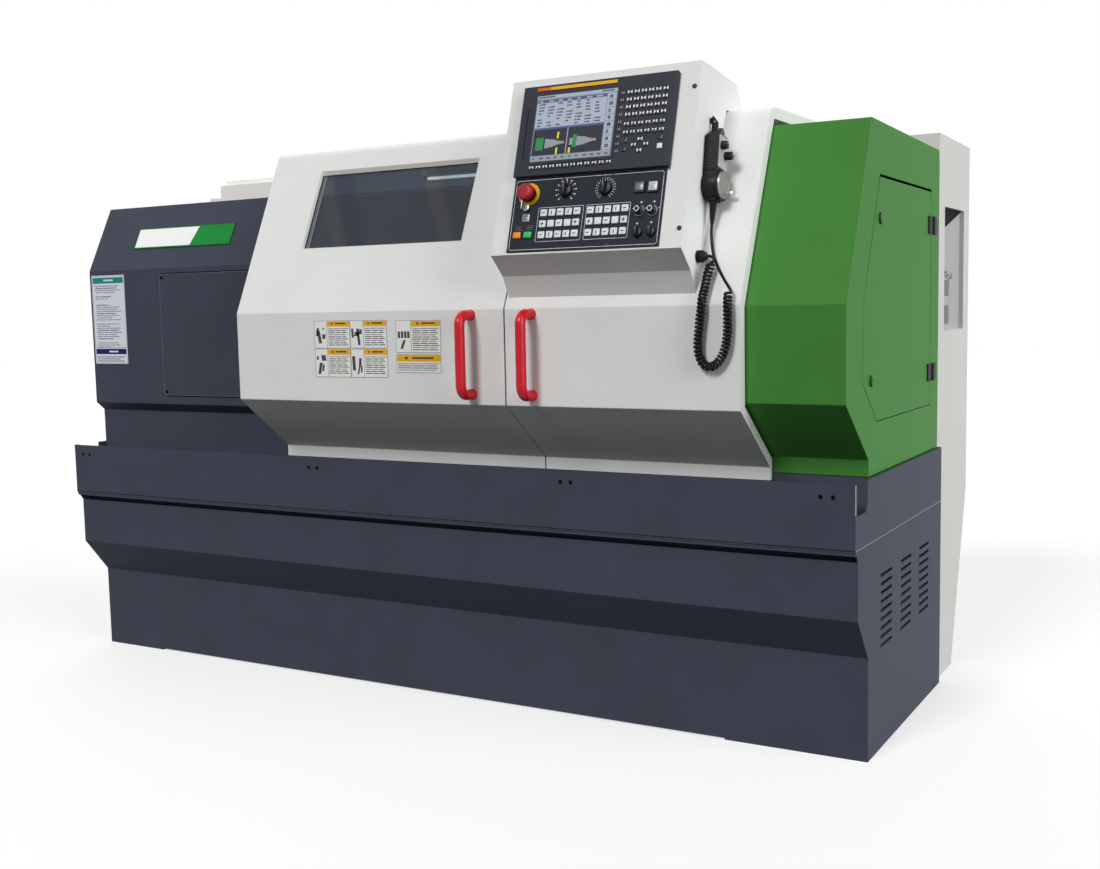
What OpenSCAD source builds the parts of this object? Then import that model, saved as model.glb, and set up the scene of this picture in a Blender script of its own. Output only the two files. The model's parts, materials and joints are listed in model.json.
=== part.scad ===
// Enclosed flat-bed turning lathe with two sliding doors.
// X runs along the bed to the tailstock, Y runs to the back, Z runs up.

/* [Overall] */
// Length of the base and of the chip tray
machine_length = 2420; // [2300:10:2950]
// Height of the plinth below the belt
plinth_height = 237; // [180:1:300]
// Height of the belt's lower edge
belt_low = 338; // [310:1:360]
// Height of the belt's upper edge
belt_high = 468; // [400:1:480]
// Height of the base, where the tray sits
base_height = 494; // [485:1:540]
// Wall of the base weldment
base_wall = 6; // [4:0.5:12]
// Reach of the belt in front of the plinth
belt_reach = 80; // [40:1:90]
// Distance from the door foot line to the back of the base
base_depth = 640; // [636:1:720]

/* [Chip tray] */
// Height of the tray's rim above its floor sheet
tray_rim = 144; // [100:1:146]
// Distance from the door foot line to the tray's front
tray_reach = 140; // [125:1:160]
// Sheet of the tray
tray_sheet = 3; // [2:0.5:5]
// Width of the drain notch at each end
notch_width = 84; // [50:1:90]
// Depth of the drain notch below the rim
notch_depth = 68; // [30:1:90]
// Diameter of the threaded hook holes in the tray's front
hook_hole_d = 7; // [4:0.5:10]

/* [Sheet covers] */
// Sheet of the covers and of the doors
sheet = 3; // [2:0.5:5]
// Length of headstock cover that the closed left door leaves in view
head_cover_length = 755; // [700:5:900]
// Length of tailstock cover that the closed right door leaves in view
tail_cover_length = 230; // [205:5:300]
// Length of the covers that lies behind the closed doors
cover_lap = 18; // [10:1:40]
// Height of the headstock cover
head_cover_top = 1357; // [1300:1:1360]
// Height of the tailstock cover's front edge
tail_cover_top = 1422; // [1400:1:1426]
// Fall of the tailstock cover's roof to the back
tail_cover_fall = 14; // [0:1:20]

/* [Sliding doors] */
// Height of the doors' roof
door_top = 1464; // [1450:1:1500]
// Lean of the doors' upper face from upright
door_lean = 24.3; // [20:0.1:28]
// Height of the doors' upper bend
door_bend_high = 1026; // [980:1:1060]
// Height of the doors' lower bend
door_bend_low = 797; // [780:1:830]
// Height of the top of the doors' foot flange
door_foot_top = 654; // [645:1:670]
// Distance from the foot line to the doors' front face
door_reach = 212; // [190:1:214]
// Length of the right door
right_door_length = 590; // [560:5:640]
// Gap between the closed doors
door_seam = 4; // [2:0.5:8]
// Depth of the return flange at the doors' ends
door_return = 26; // [15:1:26]
// Depth of the doors' roof from the foot line
door_roof = 300; // [260:5:340]
// Radius of the doors' top bend
door_top_bend = 30; // [10:1:40]

/* [Window] */
// Length of the window opening
window_length = 510; // [300:4:560]
// Height of the window opening along the leaning face
window_height = 232; // [150:2:260]
// Distance from the left door's left edge to the opening
window_inset = 168; // [100:1:220]
// Distance from the upper bend to the opening along the face
window_rise = 184; // [120:1:200]
// Glass thickness
glass_thick = 6; // [4:0.5:12]

/* [Handles] */
// Distance between the centres of the handle's feet
handle_length = 190; // [120:1:198]
// Clear reach of the handle to its centre line
handle_reach = 50; // [40:1:51]
// Handle tube diameter
handle_d = 25; // [16:0.5:25]

/* [Control box] */
// Length of the control box
box_length = 477; // [450:1:500]
// Lean of the control box's face from upright
box_lean = 16.6; // [10:0.1:20]
// Height of the control box's face along the lean
box_face = 424; // [415:1:440]
// Height of the face's lower edge
box_low = 1148; // [1140:1:1170]
// Reach of the face's lower edge in front of the foot line
box_reach = 276; // [274:1:300]
// Length of the display unit
display_length = 390; // [300:1:400]
// Height of the display unit
display_height = 219; // [180:1:220]
// Length of the operator panel
panel_length = 382; // [376:1:400]
// Height of the operator panel
panel_height = 175; // [165:1:180]

/* [Spindle and bed] */
// Height of the spindle axis
axis_height = 1030; // [1010:1:1040]
// Distance from the foot line to the spindle axis
axis_depth = 260; // [250:1:280]
// Spindle journal diameter
journal_d = 110; // [90:1:130]
// Bore through the spindle
spindle_bore_d = 52; // [40:1:60]
// Chuck diameter
chuck_d = 210; // [160:1:220]
// Height of the bed's ways
way_height = 850; // [820:1:860]
// Width of the bed
bed_width = 300; // [240:2:320]
// Radial running clearance of shafts in their bores
running = 0.05; // [0.02:0.01:0.1]
// Gap between parts that slide past each other
slide_gap = 0.3; // [0.2:0.05:0.5]

/* [Electrical cabinet] */
// Length of the electrical cabinet
cabinet_length = 640; // [400:10:900]
// Height of the electrical cabinet
cabinet_height = 1455; // [1200:5:1550]
// Depth of the electrical cabinet
cabinet_depth = 360; // [300:5:450]

/* [Hidden] */
$fn = 48;

slate = "#40444f";
white = "#d7d7d4";
green = "#42733a";
cream = "#e6e2da";
red = "#d2192d";
black = "#202226";
steel = "#a9adb2";
iron = "#5b6068";

// X of the main planes
x_left = -machine_length/2;
x_right = machine_length/2;
left_door_x0 = x_left + head_cover_length;
right_door_x1 = x_right - tail_cover_length;
right_door_x0 = right_door_x1 - right_door_length;
left_door_x1 = right_door_x0 - door_seam;
head_cover_x1 = left_door_x0 + cover_lap;
tail_cover_x0 = right_door_x1 - cover_lap;
head_cover_inset = tray_sheet + 0.5;
tail_cover_inset = tray_sheet + 5.5;
tail_cover_x1 = x_right - tail_cover_inset;

// Y and Z of the profiles: Y is 0 at the doors' foot line
cabinet_back = base_depth + cabinet_depth;
foot_y = -30;
tray_top = base_height + tray_rim;
floor_top = base_height + tray_sheet;
door_foot_low = tray_top - 14;
door_top_y = -door_reach + (door_top - door_bend_high)*tan(door_lean);
door_path = [
  [foot_y, door_foot_low],
  [foot_y, door_foot_top],
  [-door_reach, door_bend_low],
  [-door_reach, door_bend_high],
  [door_top_y, door_top],
  [door_roof, door_top]
];
door_bends = [0, 3, 4, 8, door_top_bend, 0];

tail_flange_y = foot_y + 16;
tail_face_y = -door_reach + door_return + 3;
tail_bend_high = door_bend_high - 4;
tail_path = [
  [tail_flange_y, floor_top],
  [tail_flange_y, door_foot_top + 24],
  [tail_face_y, door_bend_low + 15],
  [tail_face_y, tail_bend_high],
  [tail_face_y + (tail_cover_top - tail_bend_high)*tan(door_lean), tail_cover_top],
  [base_depth - 20, tail_cover_top - tail_cover_fall],
  [base_depth - 20, floor_top]
];
tail_bends = [0, 3, 4, 6, 4, 3, 0];

sill_y = foot_y + 8;
head_face_y = -50;
head_face_low = 762;
head_bend = 1164;
head_top_y = 46;
head_path = [
  [sill_y, floor_top],
  [sill_y, head_face_low - 24],
  [head_face_y, head_face_low],
  [head_face_y, head_bend],
  [head_top_y, head_cover_top],
  [base_depth - 23, head_cover_top],
  [base_depth - 23, floor_top]
];
head_bends = [0, 2, 3, 5, 4, 3, 0];

// Access panel in the headstock cover
access_x = [x_left + 302, x_left + 710];
access_z = [head_face_low + 27, head_bend - 18];
bulkhead_gap = 20;
chuck_room = 150;

// Rail beam over the work area
beam_y = [130, 230];
beam_z = [head_cover_top, head_cover_top + 54];
beam_x = [x_left + 389, tail_cover_x1 - sheet - 2];
rail_y = [150, 180];
rail_top = beam_z[1] + 14;
lower_rail_y = [-36, sill_y];
lower_rail_z = [door_foot_low - 14, door_foot_low - 0.5];
runner_length = 80;
runner_inset = 45;
frame_back = base_depth - 23;
frame_roof = beam_z[1] - 11;

// Control box
box_x0 = right_door_x0 + 6;
box_x1 = box_x0 + box_length;
box_wall = 3;
box_top_y = -box_reach + box_face*sin(box_lean);
box_top = box_low + box_face*cos(box_lean);
box_foot = 1052;
box_back_y = 90;
door_gap = 0.2;
panel_low = 5;
display_low = panel_low + panel_height + 1.5;
display_x = box_x0 + 41;
display_width = min(display_length, box_length - 87);
panel_x = box_x0 + 43;
panel_width = min(panel_length, box_length - 95);
bezel_thick = 14;
panel_thick = 3;
shaft_r = 3;
shaft_length = 12;

// Places of the operator's controls on the face: [along the panel, up the panel]
estop_at = [42, 136];
feed_at = [137, 140];
speed_at = [237, 139];
selector_at = [
  [panel_width - 55, 82], [panel_width - 24, 81], [panel_width - 54, 33], [panel_width - 22, 33]
];
keyswitch_at = [40, 104];
stop_at = [24, 39];
start_at = [52, 39];
estop_r = 20;
estop_stem_r = 11;
cap_size = [19, 14];
dial_knob = [15, 6, 17, 8];
selector_knob = [10.5, 5, 15, 7];

// The lower selectors stand furthest forward, and the cabinet furthest back
front_y = -box_reach
  + (panel_low + selector_at[2][1] - selector_knob[0] + 1)*sin(box_lean)
  - (panel_thick + selector_knob[2])*cos(box_lean);
middle_y = (cabinet_back + front_y)/2;

// Hand pendant on the control box's right side
pendant_lean = 10;
pendant_y = -143;
pendant_low = 1250;
pendant_thick = 32;
pendant_width = 54;
pendant_high = 148;
pendant_round = 33;
hook_thick = 3;
dial_at = [0, 36];
axis_at = [-10, 122];
step_at = [13, 104];
dial_r = 30;
small_knob_r = 9;
spindle_pin_r = 4;

// Curly cord: every point lies in front of the doors' face, measured along X from the box's side
cord_d = 6;
coil_d = 21;
gland_length = 48;
plug_r = 13.5;
plug_length = 24;
plug_at = [-188, 1131];
tube_route = [
  [19, -151, 1203], [19, -154, 1189], [20, -157, 1175], [23, -162, 1160], [27, -168, 1145],
  [32, -173, 1131], [39, -179, 1118], [47, -185, 1105], [56, -191, 1092], [66, -198, 1079],
  [77, -206, 1067], [86, -213, 1057], [91, -218, 1050]
];
loop_route = [
  [24, -188, 1131], [30, -188, 1131], [35, -189, 1129], [39, -191, 1125], [40, -193, 1120],
  [39, -194, 1116]
];
coil_route = [
  [34, -194, 1116], [32, -198, 1104], [29, -203, 1090], [27, -212, 1064], [25, -223, 1040],
  [24, -227, 1018], [21, -228, 996], [18, -227, 972], [16, -227, 950], [16, -227, 930],
  [20, -227, 912], [28, -227, 899], [41, -227, 893], [55, -227, 897], [66, -227, 908],
  [75, -227, 924], [81, -227, 944], [84, -227, 966], [85, -228, 990], [85, -228, 1014],
  [84, -225, 1034], [84, -219, 1050]
];

// Bed, headstock and spindle
bed_x = [x_left + 210, x_right - 100];
bed_y = [axis_depth - bed_width/2, axis_depth + bed_width/2];
vee_high = 18;
head_x = [bed_x[0], x_left + 650];
journal_r = journal_d/2;
pulley_r = 70;
pulley_x = [head_x[0] - 80, head_x[0] - 30];
belt_gap = 0.4;
belt_thick = 8;
nose_x = head_x[1] + 1;
chuck_x = [nose_x + 29, nose_x + 119];
jaw_width = 32;
jaw_slot = 14;
motor_at = [510, 640];
motor_r = 92;
motor_shaft_r = 19;
motor_x = [head_x[0], head_x[0] + 320];

// Carriage, cross slide and turret at rest
carriage_x = [20, 290];
carriage_y = [40, 450];
carriage_top = way_height + 55;
cross_x = [75, 235];
cross_y = [-30, 300];
cross_top = carriage_top + 40;
turret_at = [155, 50];
turret_side = 130;
turret_top = cross_top + 140;
screw_d = 25;
screw_at = [85, 800];
screw_x = [x_left + 650, x_right - 110];

// Tailstock at rest
tail_x = [700, 960];
quill_d = 70;
quill_x = [tail_x[0] - 90, tail_x[1] - 30];
centre_length = 50;
wheel_r = 75;
wheel_x = [tail_x[1] + 28, tail_x[1] + 48];

// Side door outline [y, z] and its hardware
side_outline = [
  [66, 1306], [540, 1303], [545, 757], [49, 757], [-68, 852], [-62, 1015]
];
side_seam = 2;
hinge_y = 549;
hinge_z = [1192, 820];
hinge_high = 44;
hinge_r = 4;
hinge_gap = 0.3;
hinge_pin_r = 2;
hinge_leaf = [5, 40];
latch_at = [[71, 1210], [3, 852]];
latch_turn = [-24, 51];
latch_arm = 56;
latch_r = 8;

// Electrical cabinet outline [y, z]; its lower rear leans in
cabinet_x = [x_right - 12 - cabinet_length, x_right - 12];
cabinet_wall = 3;
cabinet_outline = [
  [base_depth, 0],
  [base_depth, cabinet_height],
  [cabinet_back, cabinet_height - 5],
  [cabinet_back, 480],
  [cabinet_back - 168, 0]
];
recess_y = [base_depth + 65, base_depth + 295];
recess_z = [943, 1270];
recess_deep = 12;

// Moves a part from the profiles' own Y to the centred frame
module in_frame() {
  translate([0, -middle_y, 0]) children();
}

// Stands a [y, z] outline up and extends it along X
module along_x(x0, x1) {
  translate([x0, 0, 0])
    rotate([90, 0, 90])
      linear_extrude(x1 - x0) children();
}

// A box from its two corners
module block(low, high) {
  translate(low) cube(high - low);
}

// A round bar along X
module bar_x(x0, x1, y, z, r) {
  translate([x0, y, z]) rotate([0, 90, 0]) cylinder(h = x1 - x0, r = r);
}

function unit(v) = v/norm(v);
function inward(a, b) = let (d = unit(b - a)) [d[1], -d[0]];
function cross2(a, b) = a[0]*b[1] - a[1]*b[0];
function meeting(p, d, q, e) = p + d*cross2(q - p, e)/cross2(d, e);

// The path moved inward, with its own depth for each of its straight runs
function inner_path(p, depths) = [
  for (i = [0:len(p) - 1])
    i == 0 ? p[0] + inward(p[0], p[1])*depths[0]
    : i == len(p) - 1 ? p[i] + inward(p[i - 1], p[i])*depths[i - 1]
    : meeting(
        p[i] + inward(p[i - 1], p[i])*depths[i - 1], p[i] - p[i - 1],
        p[i] + inward(p[i], p[i + 1])*depths[i], p[i + 1] - p[i])
];

// The points of a bend of radius r at b, between the runs a-b and b-c
function bend_points(a, b, c, r, steps = 5) =
  let (u = unit(a - b), v = unit(c - b))
  let (half = acos(u*v)/2, reach = r/tan(half))
  let (start = b + u*reach, end = b + v*reach, mid = b + unit(u + v)*(r/sin(half)))
  [ for (k = [0:steps])
      let (w = (1 - k/steps)*(start - mid) + (k/steps)*(end - mid))
      mid + unit(w)*r ];

function bent(p, radii) = [
  for (i = [0:len(p) - 1])
    each (radii[i] == 0 ? [p[i]] : bend_points(p[i - 1], p[i], p[i + 1], radii[i]))
];

function reversed(p) = [for (i = [len(p) - 1:-1:0]) p[i]];
function fill(n, value) = [for (i = [1:n]) value];

// Closed outline of a folded sheet
function folded(p, radii, thick) = concat(
  bent(p, radii),
  reversed(bent(
    inner_path(p, fill(len(p) - 1, thick)),
    [for (r = radii) max(0, r - thick)]
  ))
);

// A closed outline, clockwise in [y, z], moved inward by g
function inset(p, g) = [
  for (i = [0:len(p) - 1])
    let (a = p[(i + len(p) - 1)%len(p)], b = p[i], c = p[(i + 1)%len(p)])
    meeting(b + inward(a, b)*g, b - a, b + inward(b, c)*g, c - b)
];

// Closed outline of the flange that closes a door's end
function end_flange(p, radii, depths) = concat(
  bent(p, radii),
  reversed(inner_path(p, depths))
);

// Rings of points along a route, for a round tube
function ring(route, i, r, sides) =
  let (a = route[max(i - 1, 0)], b = route[min(i + 1, len(route) - 1)])
  let (t = unit(b - a), u = unit(cross(t, [0, 1, 0])), v = cross(t, u))
  [for (k = [0:sides - 1]) route[i] + r*(cos(360*k/sides)*u + sin(360*k/sides)*v)];

module tube(route, r, sides) {
  n = len(route);
  points = [for (i = [0:n - 1]) each ring(route, i, r, sides)];
  walls = [
    for (i = [0:n - 2], k = [0:sides - 1])
      let (a = i*sides + k, b = i*sides + (k + 1)%sides)
      each [[a, a + sides, b], [b, a + sides, b + sides]]
  ];
  start = [for (k = [0:sides - 1]) k];
  end = [for (k = [sides - 1:-1:0]) (n - 1)*sides + k];
  polyhedron(points, concat([start, end], walls));
}

// Places children on the control box's face, out of the face along their own Z
module on_face(x, up, out = 0) {
  translate([x, -box_reach, box_low])
    rotate([90 - box_lean, 0, 0])
      translate([0, up, out]) children();
}

// Places children at a control of the operator panel
module on_panel(at) {
  on_face(panel_x + at[0], panel_low + at[1], panel_thick) children();
}

// Places children on the doors' leaning upper face
module on_slope(x, up, out = 0) {
  translate([x, -door_reach, door_bend_high])
    rotate([90 - door_lean, 0, 0])
      translate([0, up, out]) children();
}

// Places children in the pendant: X across, Y up, Z out to the right
module in_pendant() {
  translate([box_x1 + hook_thick, pendant_y, pendant_low])
    rotate([-pendant_lean, 0, 0])
      rotate([90, 0, 90]) children();
}

// ---- Base and tray ----

module base_section(wall = 0) {
  front = -40 + wall;
  belt = front - belt_reach;
  polygon([
    [front, 4 + wall],
    [front, plinth_height],
    [belt, belt_low + wall*0.4],
    [belt, belt_high - wall],
    [belt + 22, belt_high - wall],
    [belt + 22, base_height - wall],
    [base_depth - wall, base_height - wall],
    [base_depth - wall, 4 + wall]
  ]);
}

module louvres() {
  rows = 9;
  pitch = 20.5;
  slot = [95, 8];
  for (column = [0:2], row = [0:rows - 1])
    translate([0, 60 + column*176, 237 + row*pitch])
      cube([base_wall + 2, slot[0], slot[1]]);
}

module base_cabinet() {
  color(slate) in_frame() {
    difference() {
      along_x(x_left, x_right) base_section();
      along_x(x_left + base_wall, x_right - base_wall) base_section(base_wall);
      translate([x_right - base_wall - 1, 0, 0]) louvres();
      translate([x_left - 1, 0, 0]) louvres();
    }
    block([x_left, -40, 0], [x_left + 228, base_depth, 4]);
    block([x_right - 342, -40, 0], [x_right, base_depth, 4]);
  }
}

module tray_end() {
  front = -tray_reach + 3;
  notch_y = front + notch_width + 3;
  polygon([
    [front, base_height],
    [front, tray_top - notch_depth],
    [notch_y - 12, tray_top - notch_depth],
    [notch_y, tray_top - notch_depth + 12],
    [notch_y, tray_top],
    [base_depth, tray_top],
    [base_depth, base_height]
  ]);
}

module chip_tray() {
  front = -tray_reach;
  hook_x = [36, 922, 1701, 2343];
  hook_pitch = 28;
  color(slate) in_frame() difference() {
    union() {
      block([x_left, front + 3, base_height], [x_right, base_depth, floor_top]);
      block([x_left, front, base_height], [x_right, front + tray_sheet, tray_top]);
      block([x_left, front + 3, base_height - 10], [x_right, front + 6, base_height + 1]);
      block([x_left, base_depth - tray_sheet, base_height], [x_right, base_depth, tray_top]);
      along_x(x_left, x_left + tray_sheet) tray_end();
      along_x(x_right - tray_sheet, x_right) tray_end();
      block([x_right - tray_sheet, front, tray_top - notch_depth],
            [x_right, front + 12, tray_top]);
      block([x_left, front, tray_top - notch_depth],
            [x_left + tray_sheet, front + 12, tray_top]);
    }
    for (x = hook_x, k = [0, 1])
      translate([x_left + x*machine_length/2420 + k*hook_pitch, front - 1, tray_top - 28])
        rotate([-90, 0, 0]) cylinder(h = tray_sheet + 2, d = hook_hole_d, $fn = 24);
  }
}

// ---- Bed, headstock and drive ----

module bed() {
  waist = 46;
  color(iron) in_frame() difference() {
    along_x(bed_x[0], bed_x[1])
      polygon([
        [bed_y[0], floor_top],
        [bed_y[0], floor_top + 60],
        [bed_y[0] + waist, floor_top + 110],
        [bed_y[0] + waist, way_height - 90],
        [bed_y[0], way_height - 60],
        [bed_y[0], way_height],
        [bed_y[0] + 20, way_height],
        [bed_y[0] + 40, way_height + vee_high],
        [bed_y[0] + 60, way_height],
        [bed_y[1], way_height],
        [bed_y[1], way_height - 60],
        [bed_y[1] - waist, way_height - 90],
        [bed_y[1] - waist, floor_top + 110],
        [bed_y[1], floor_top + 60],
        [bed_y[1], floor_top]
      ]);
    for (x = [head_x[1] + 90:270:bed_x[1] - 200])
      block([x, bed_y[0] + 95, floor_top + 130], [x + 180, bed_y[1] - 75, way_height + 1]);
  }
}

module headstock() {
  color(green) in_frame() difference() {
    along_x(head_x[0], head_x[1])
      polygon([
        [bed_y[0] + 10, way_height + vee_high + 6],
        [bed_y[0] + 10, axis_height + 120],
        [bed_y[0] + 60, axis_height + 200],
        [bed_y[1] - 40, axis_height + 200],
        [bed_y[1] - 10, axis_height + 150],
        [bed_y[1] - 10, way_height],
        [bed_y[0] + 62, way_height],
        [bed_y[0] + 62, way_height + vee_high + 6]
      ]);
    bar_x(head_x[0] - 1, head_x[1] + 1, axis_depth, axis_height, journal_r + running);
  }
}

module spindle() {
  color(steel) in_frame() difference() {
    union() {
      bar_x(pulley_x[0] - 5, nose_x + 2, axis_depth, axis_height, journal_r);
      bar_x(pulley_x[0], pulley_x[1], axis_depth, axis_height, pulley_r);
      bar_x(nose_x, chuck_x[0], axis_depth, axis_height, 85);
    }
    bar_x(pulley_x[0] - 6, chuck_x[0] + 1, axis_depth, axis_height, spindle_bore_d/2);
  }
}

// Turns children about the spindle axis, from upright
module about_axis(turn) {
  translate([0, axis_depth, axis_height]) rotate([turn, 0, 0]) children();
}

module chuck() {
  color(steel) in_frame() difference() {
    bar_x(chuck_x[0], chuck_x[1], axis_depth, axis_height, chuck_d/2);
    bar_x(chuck_x[0] - 1, chuck_x[1] + 1, axis_depth, axis_height, spindle_bore_d/2);
    for (turn = [0, 120, 240])
      about_axis(turn)
        block([chuck_x[1] - jaw_slot, -jaw_width/2 - slide_gap, 20],
              [chuck_x[1] + 1, jaw_width/2 + slide_gap, chuck_d/2 + 5]);
  }
}

module jaw(turn) {
  low = 40;
  color(iron) in_frame() about_axis(turn) {
    block([chuck_x[1] - jaw_slot + slide_gap, -jaw_width/2, low],
          [chuck_x[1] + 18, jaw_width/2, low + 58]);
    block([chuck_x[1] + 17, -jaw_width/2, low], [chuck_x[1] + 42, jaw_width/2, low + 24]);
  }
}

module spindle_motor() {
  y = motor_at[0];
  z = motor_at[1];
  color(iron) in_frame() difference() {
    union() {
      bar_x(motor_x[0], motor_x[1], y, z, motor_r);
      block([motor_x[0] + 30, y - 75, floor_top], [motor_x[1] - 40, y + 75, z - motor_r + 20]);
    }
    bar_x(motor_x[0] - 1, motor_x[0] + 110, y, z, motor_shaft_r + running);
  }
}

module motor_pulley() {
  y = motor_at[0];
  z = motor_at[1];
  color(steel) in_frame() {
    bar_x(pulley_x[0], pulley_x[1], y, z, pulley_r);
    bar_x(pulley_x[0], motor_x[0] + 100, y, z, motor_shaft_r);
  }
}

// Outline of a loop of radius r around both pulleys
function belt_loop(r, steps = 24) =
  let (a = [axis_depth, axis_height], b = motor_at, run = b - a)
  let (turn = atan2(run[1], run[0]))
  concat(
    [for (k = [0:steps]) let (t = turn + 90 + 180*k/steps) a + r*[cos(t), sin(t)]],
    [for (k = [0:steps]) let (t = turn - 90 + 180*k/steps) b + r*[cos(t), sin(t)]]
  );

module drive_belt() {
  inner = pulley_r + belt_gap;
  color(black) in_frame()
    along_x(pulley_x[0] + 3, pulley_x[1] - 3)
      difference() {
        polygon(belt_loop(inner + belt_thick));
        polygon(belt_loop(inner));
      }
}

// ---- Carriage, cross slide and turret ----

module screw_supports() {
  y = screw_at[0];
  z = screw_at[1];
  color(iron) in_frame() difference() {
    union() {
      for (x = [screw_x[0], screw_x[1] - 30])
        block([x, y - 28, z - 30], [x + 30, bed_y[0], z + 30]);
      block([screw_x[1] + 2, y - 40, z - 40], [screw_x[1] + 80, y + 24, z + 40]);
      block([screw_x[1] - 2, y - 20, z - 24], [screw_x[1] + 4, y + 20, z + 24]);
    }
    bar_x(screw_x[0] - 1, screw_x[1] + 40, y, z, screw_d/2 + running);
  }
}

module z_screw() {
  color(steel) in_frame()
    bar_x(screw_x[0] + 2, screw_x[1] + 30, screw_at[0], screw_at[1], screw_d/2);
}

module carriage() {
  y = screw_at[0];
  z = screw_at[1];
  v = bed_y[0] + 40;
  g = slide_gap;
  color(iron) in_frame() {
    difference() {
      union() {
        block([carriage_x[0], carriage_y[0], way_height + g],
              [carriage_x[1], carriage_y[1], carriage_top]);
        block([carriage_x[0] + 60, y - 30, z - 30],
              [carriage_x[1] - 60, bed_y[0] - 2, way_height + g + 1]);
        block([carriage_x[0], bed_y[1] + 2, way_height - 40],
              [carriage_x[1], carriage_y[1], way_height + g + 1]);
      }
      along_x(carriage_x[0] - 1, carriage_x[1] + 1)
        polygon([
          [v - 22, way_height - 1],
          [v - 22, way_height + 1],
          [v, way_height + vee_high + 1.2],
          [v + 22, way_height + 1],
          [v + 22, way_height - 1]
        ]);
      bar_x(carriage_x[0] + 50, carriage_x[1] - 50, y, z, screw_d/2 + g);
    }
    block([cross_x[0] + 40, carriage_y[0], carriage_top - 1],
          [cross_x[1] - 40, carriage_y[1], carriage_top + 14]);
  }
}

module cross_slide() {
  g = slide_gap;
  color(iron) in_frame() difference() {
    block([cross_x[0], cross_y[0], carriage_top + g], [cross_x[1], cross_y[1], cross_top]);
    block([cross_x[0] + 40 - g, cross_y[0] - 1, carriage_top],
          [cross_x[1] - 40 + g, cross_y[1] + 1, carriage_top + 14 + g]);
    translate([turret_at[0], turret_at[1], cross_top - 15])
      cylinder(h = 20, r = 20 + running);
  }
}

module turret() {
  half = turret_side/2;
  slot = 24;
  tool = 20;
  reach = 35;
  z = axis_height - 6;
  color(iron) in_frame() translate([turret_at[0], turret_at[1], 0]) {
    difference() {
      union() {
        block([-half, -half, cross_top + slide_gap], [half, half, turret_top]);
        translate([0, 0, cross_top - 14]) cylinder(h = 20, r = 20);
        translate([0, 0, turret_top - 1]) cylinder(h = 25, r = 34);
      }
      for (turn = [0, 90, 180, 270])
        rotate(turn)
          block([half - slot, -half - 1, z - tool], [half + 1, half + 1, z + 6]);
    }
    for (turn = [0, 90, 180, 270])
      rotate(turn)
        block([half - slot, -half + slot, z - tool],
              [half - slot + tool, half + reach, z]);
  }
}

// ---- Tailstock ----

module tailstock() {
  g = slide_gap;
  v = bed_y[0] + 40;
  color(green) in_frame() difference() {
    along_x(tail_x[0], tail_x[1])
      polygon([
        [bed_y[0] - 12, way_height + g],
        [bed_y[0] - 12, way_height + 40],
        [axis_depth - 62, axis_height - 60],
        [axis_depth - 62, axis_height + 40],
        [axis_depth - 40, axis_height + 62],
        [axis_depth + 40, axis_height + 62],
        [axis_depth + 62, axis_height + 40],
        [axis_depth + 62, axis_height - 60],
        [bed_y[1] + 12, way_height + 40],
        [bed_y[1] + 12, way_height + g],
        [v + 22, way_height + g],
        [v + 22, way_height + 1],
        [v, way_height + vee_high + 1.2],
        [v - 22, way_height + 1],
        [v - 22, way_height + g]
      ]);
    bar_x(tail_x[0] - 1, tail_x[1] - 20, axis_depth, axis_height, quill_d/2 + running);
    bar_x(tail_x[1] - 21, tail_x[1] + 1, axis_depth, axis_height, 12 + running);
  }
}

module quill() {
  color(steel) in_frame() {
    bar_x(quill_x[0], quill_x[1], axis_depth, axis_height, quill_d/2);
    translate([quill_x[0], axis_depth, axis_height])
      rotate([0, -90, 0]) cylinder(h = centre_length, r1 = 22, r2 = 1);
  }
}

module handwheel() {
  color(steel) in_frame() {
    difference() {
      bar_x(wheel_x[0], wheel_x[1], axis_depth, axis_height, wheel_r);
      bar_x(wheel_x[0] - 1, wheel_x[1] + 1, axis_depth, axis_height, wheel_r - 16);
    }
    bar_x(tail_x[1] - 18, wheel_x[1], axis_depth, axis_height, 12);
    bar_x(tail_x[1] + 2, wheel_x[1], axis_depth, axis_height, 24);
    for (turn = [0, 120, 240])
      about_axis(turn)
        block([wheel_x[0] + 4, -7, 20], [wheel_x[1] - 4, 7, wheel_r - 10]);
  }
}

// ---- Fixed sheet covers ----

function bulkhead_outline() =
  let (p = inner_path(head_path, fill(len(head_path) - 1, sheet)))
  let (d = inner_path(door_path, fill(len(door_path) - 1, bulkhead_gap)))
  let (top = [0, head_cover_top - sheet])
  [
    p[0],
    [p[0][0], d[1][1]],
    d[2],
    d[3],
    meeting(d[3], d[4] - d[3], top, [1, 0]),
    p[5],
    p[6]
  ];

module bulkhead() {
  x = [head_cover_x1 - 2*sheet, head_cover_x1 - sheet];
  difference() {
    along_x(x[0], x[1]) polygon(bulkhead_outline());
    bar_x(x[0] - 1, x[1] + 1, screw_at[0], screw_at[1], screw_d);
    block([x[0] - 1, bed_y[0] - 4, floor_top - 1],
          [x[1] + 1, bed_y[1] + 4, axis_height + chuck_room]);
  }
}

// Wall behind the chuck, let half a sheet into the cover
module spindle_wall() {
  x = [chuck_x[0] + 2, chuck_x[0] + 2 + sheet];
  difference() {
    along_x(x[0], x[1]) polygon(inner_path(head_path, fill(len(head_path) - 1, sheet/2)));
    bar_x(x[0] - 1, x[1] + 1, axis_depth, axis_height, chuck_d/2 + 20);
    bar_x(x[0] - 1, x[1] + 1, screw_at[0], screw_at[1], screw_d);
    block([x[0] - 1, bed_y[0] - 4, floor_top - 1],
          [x[1] + 1, bed_y[1] + 4, way_height + vee_high + 6]);
  }
}

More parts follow.
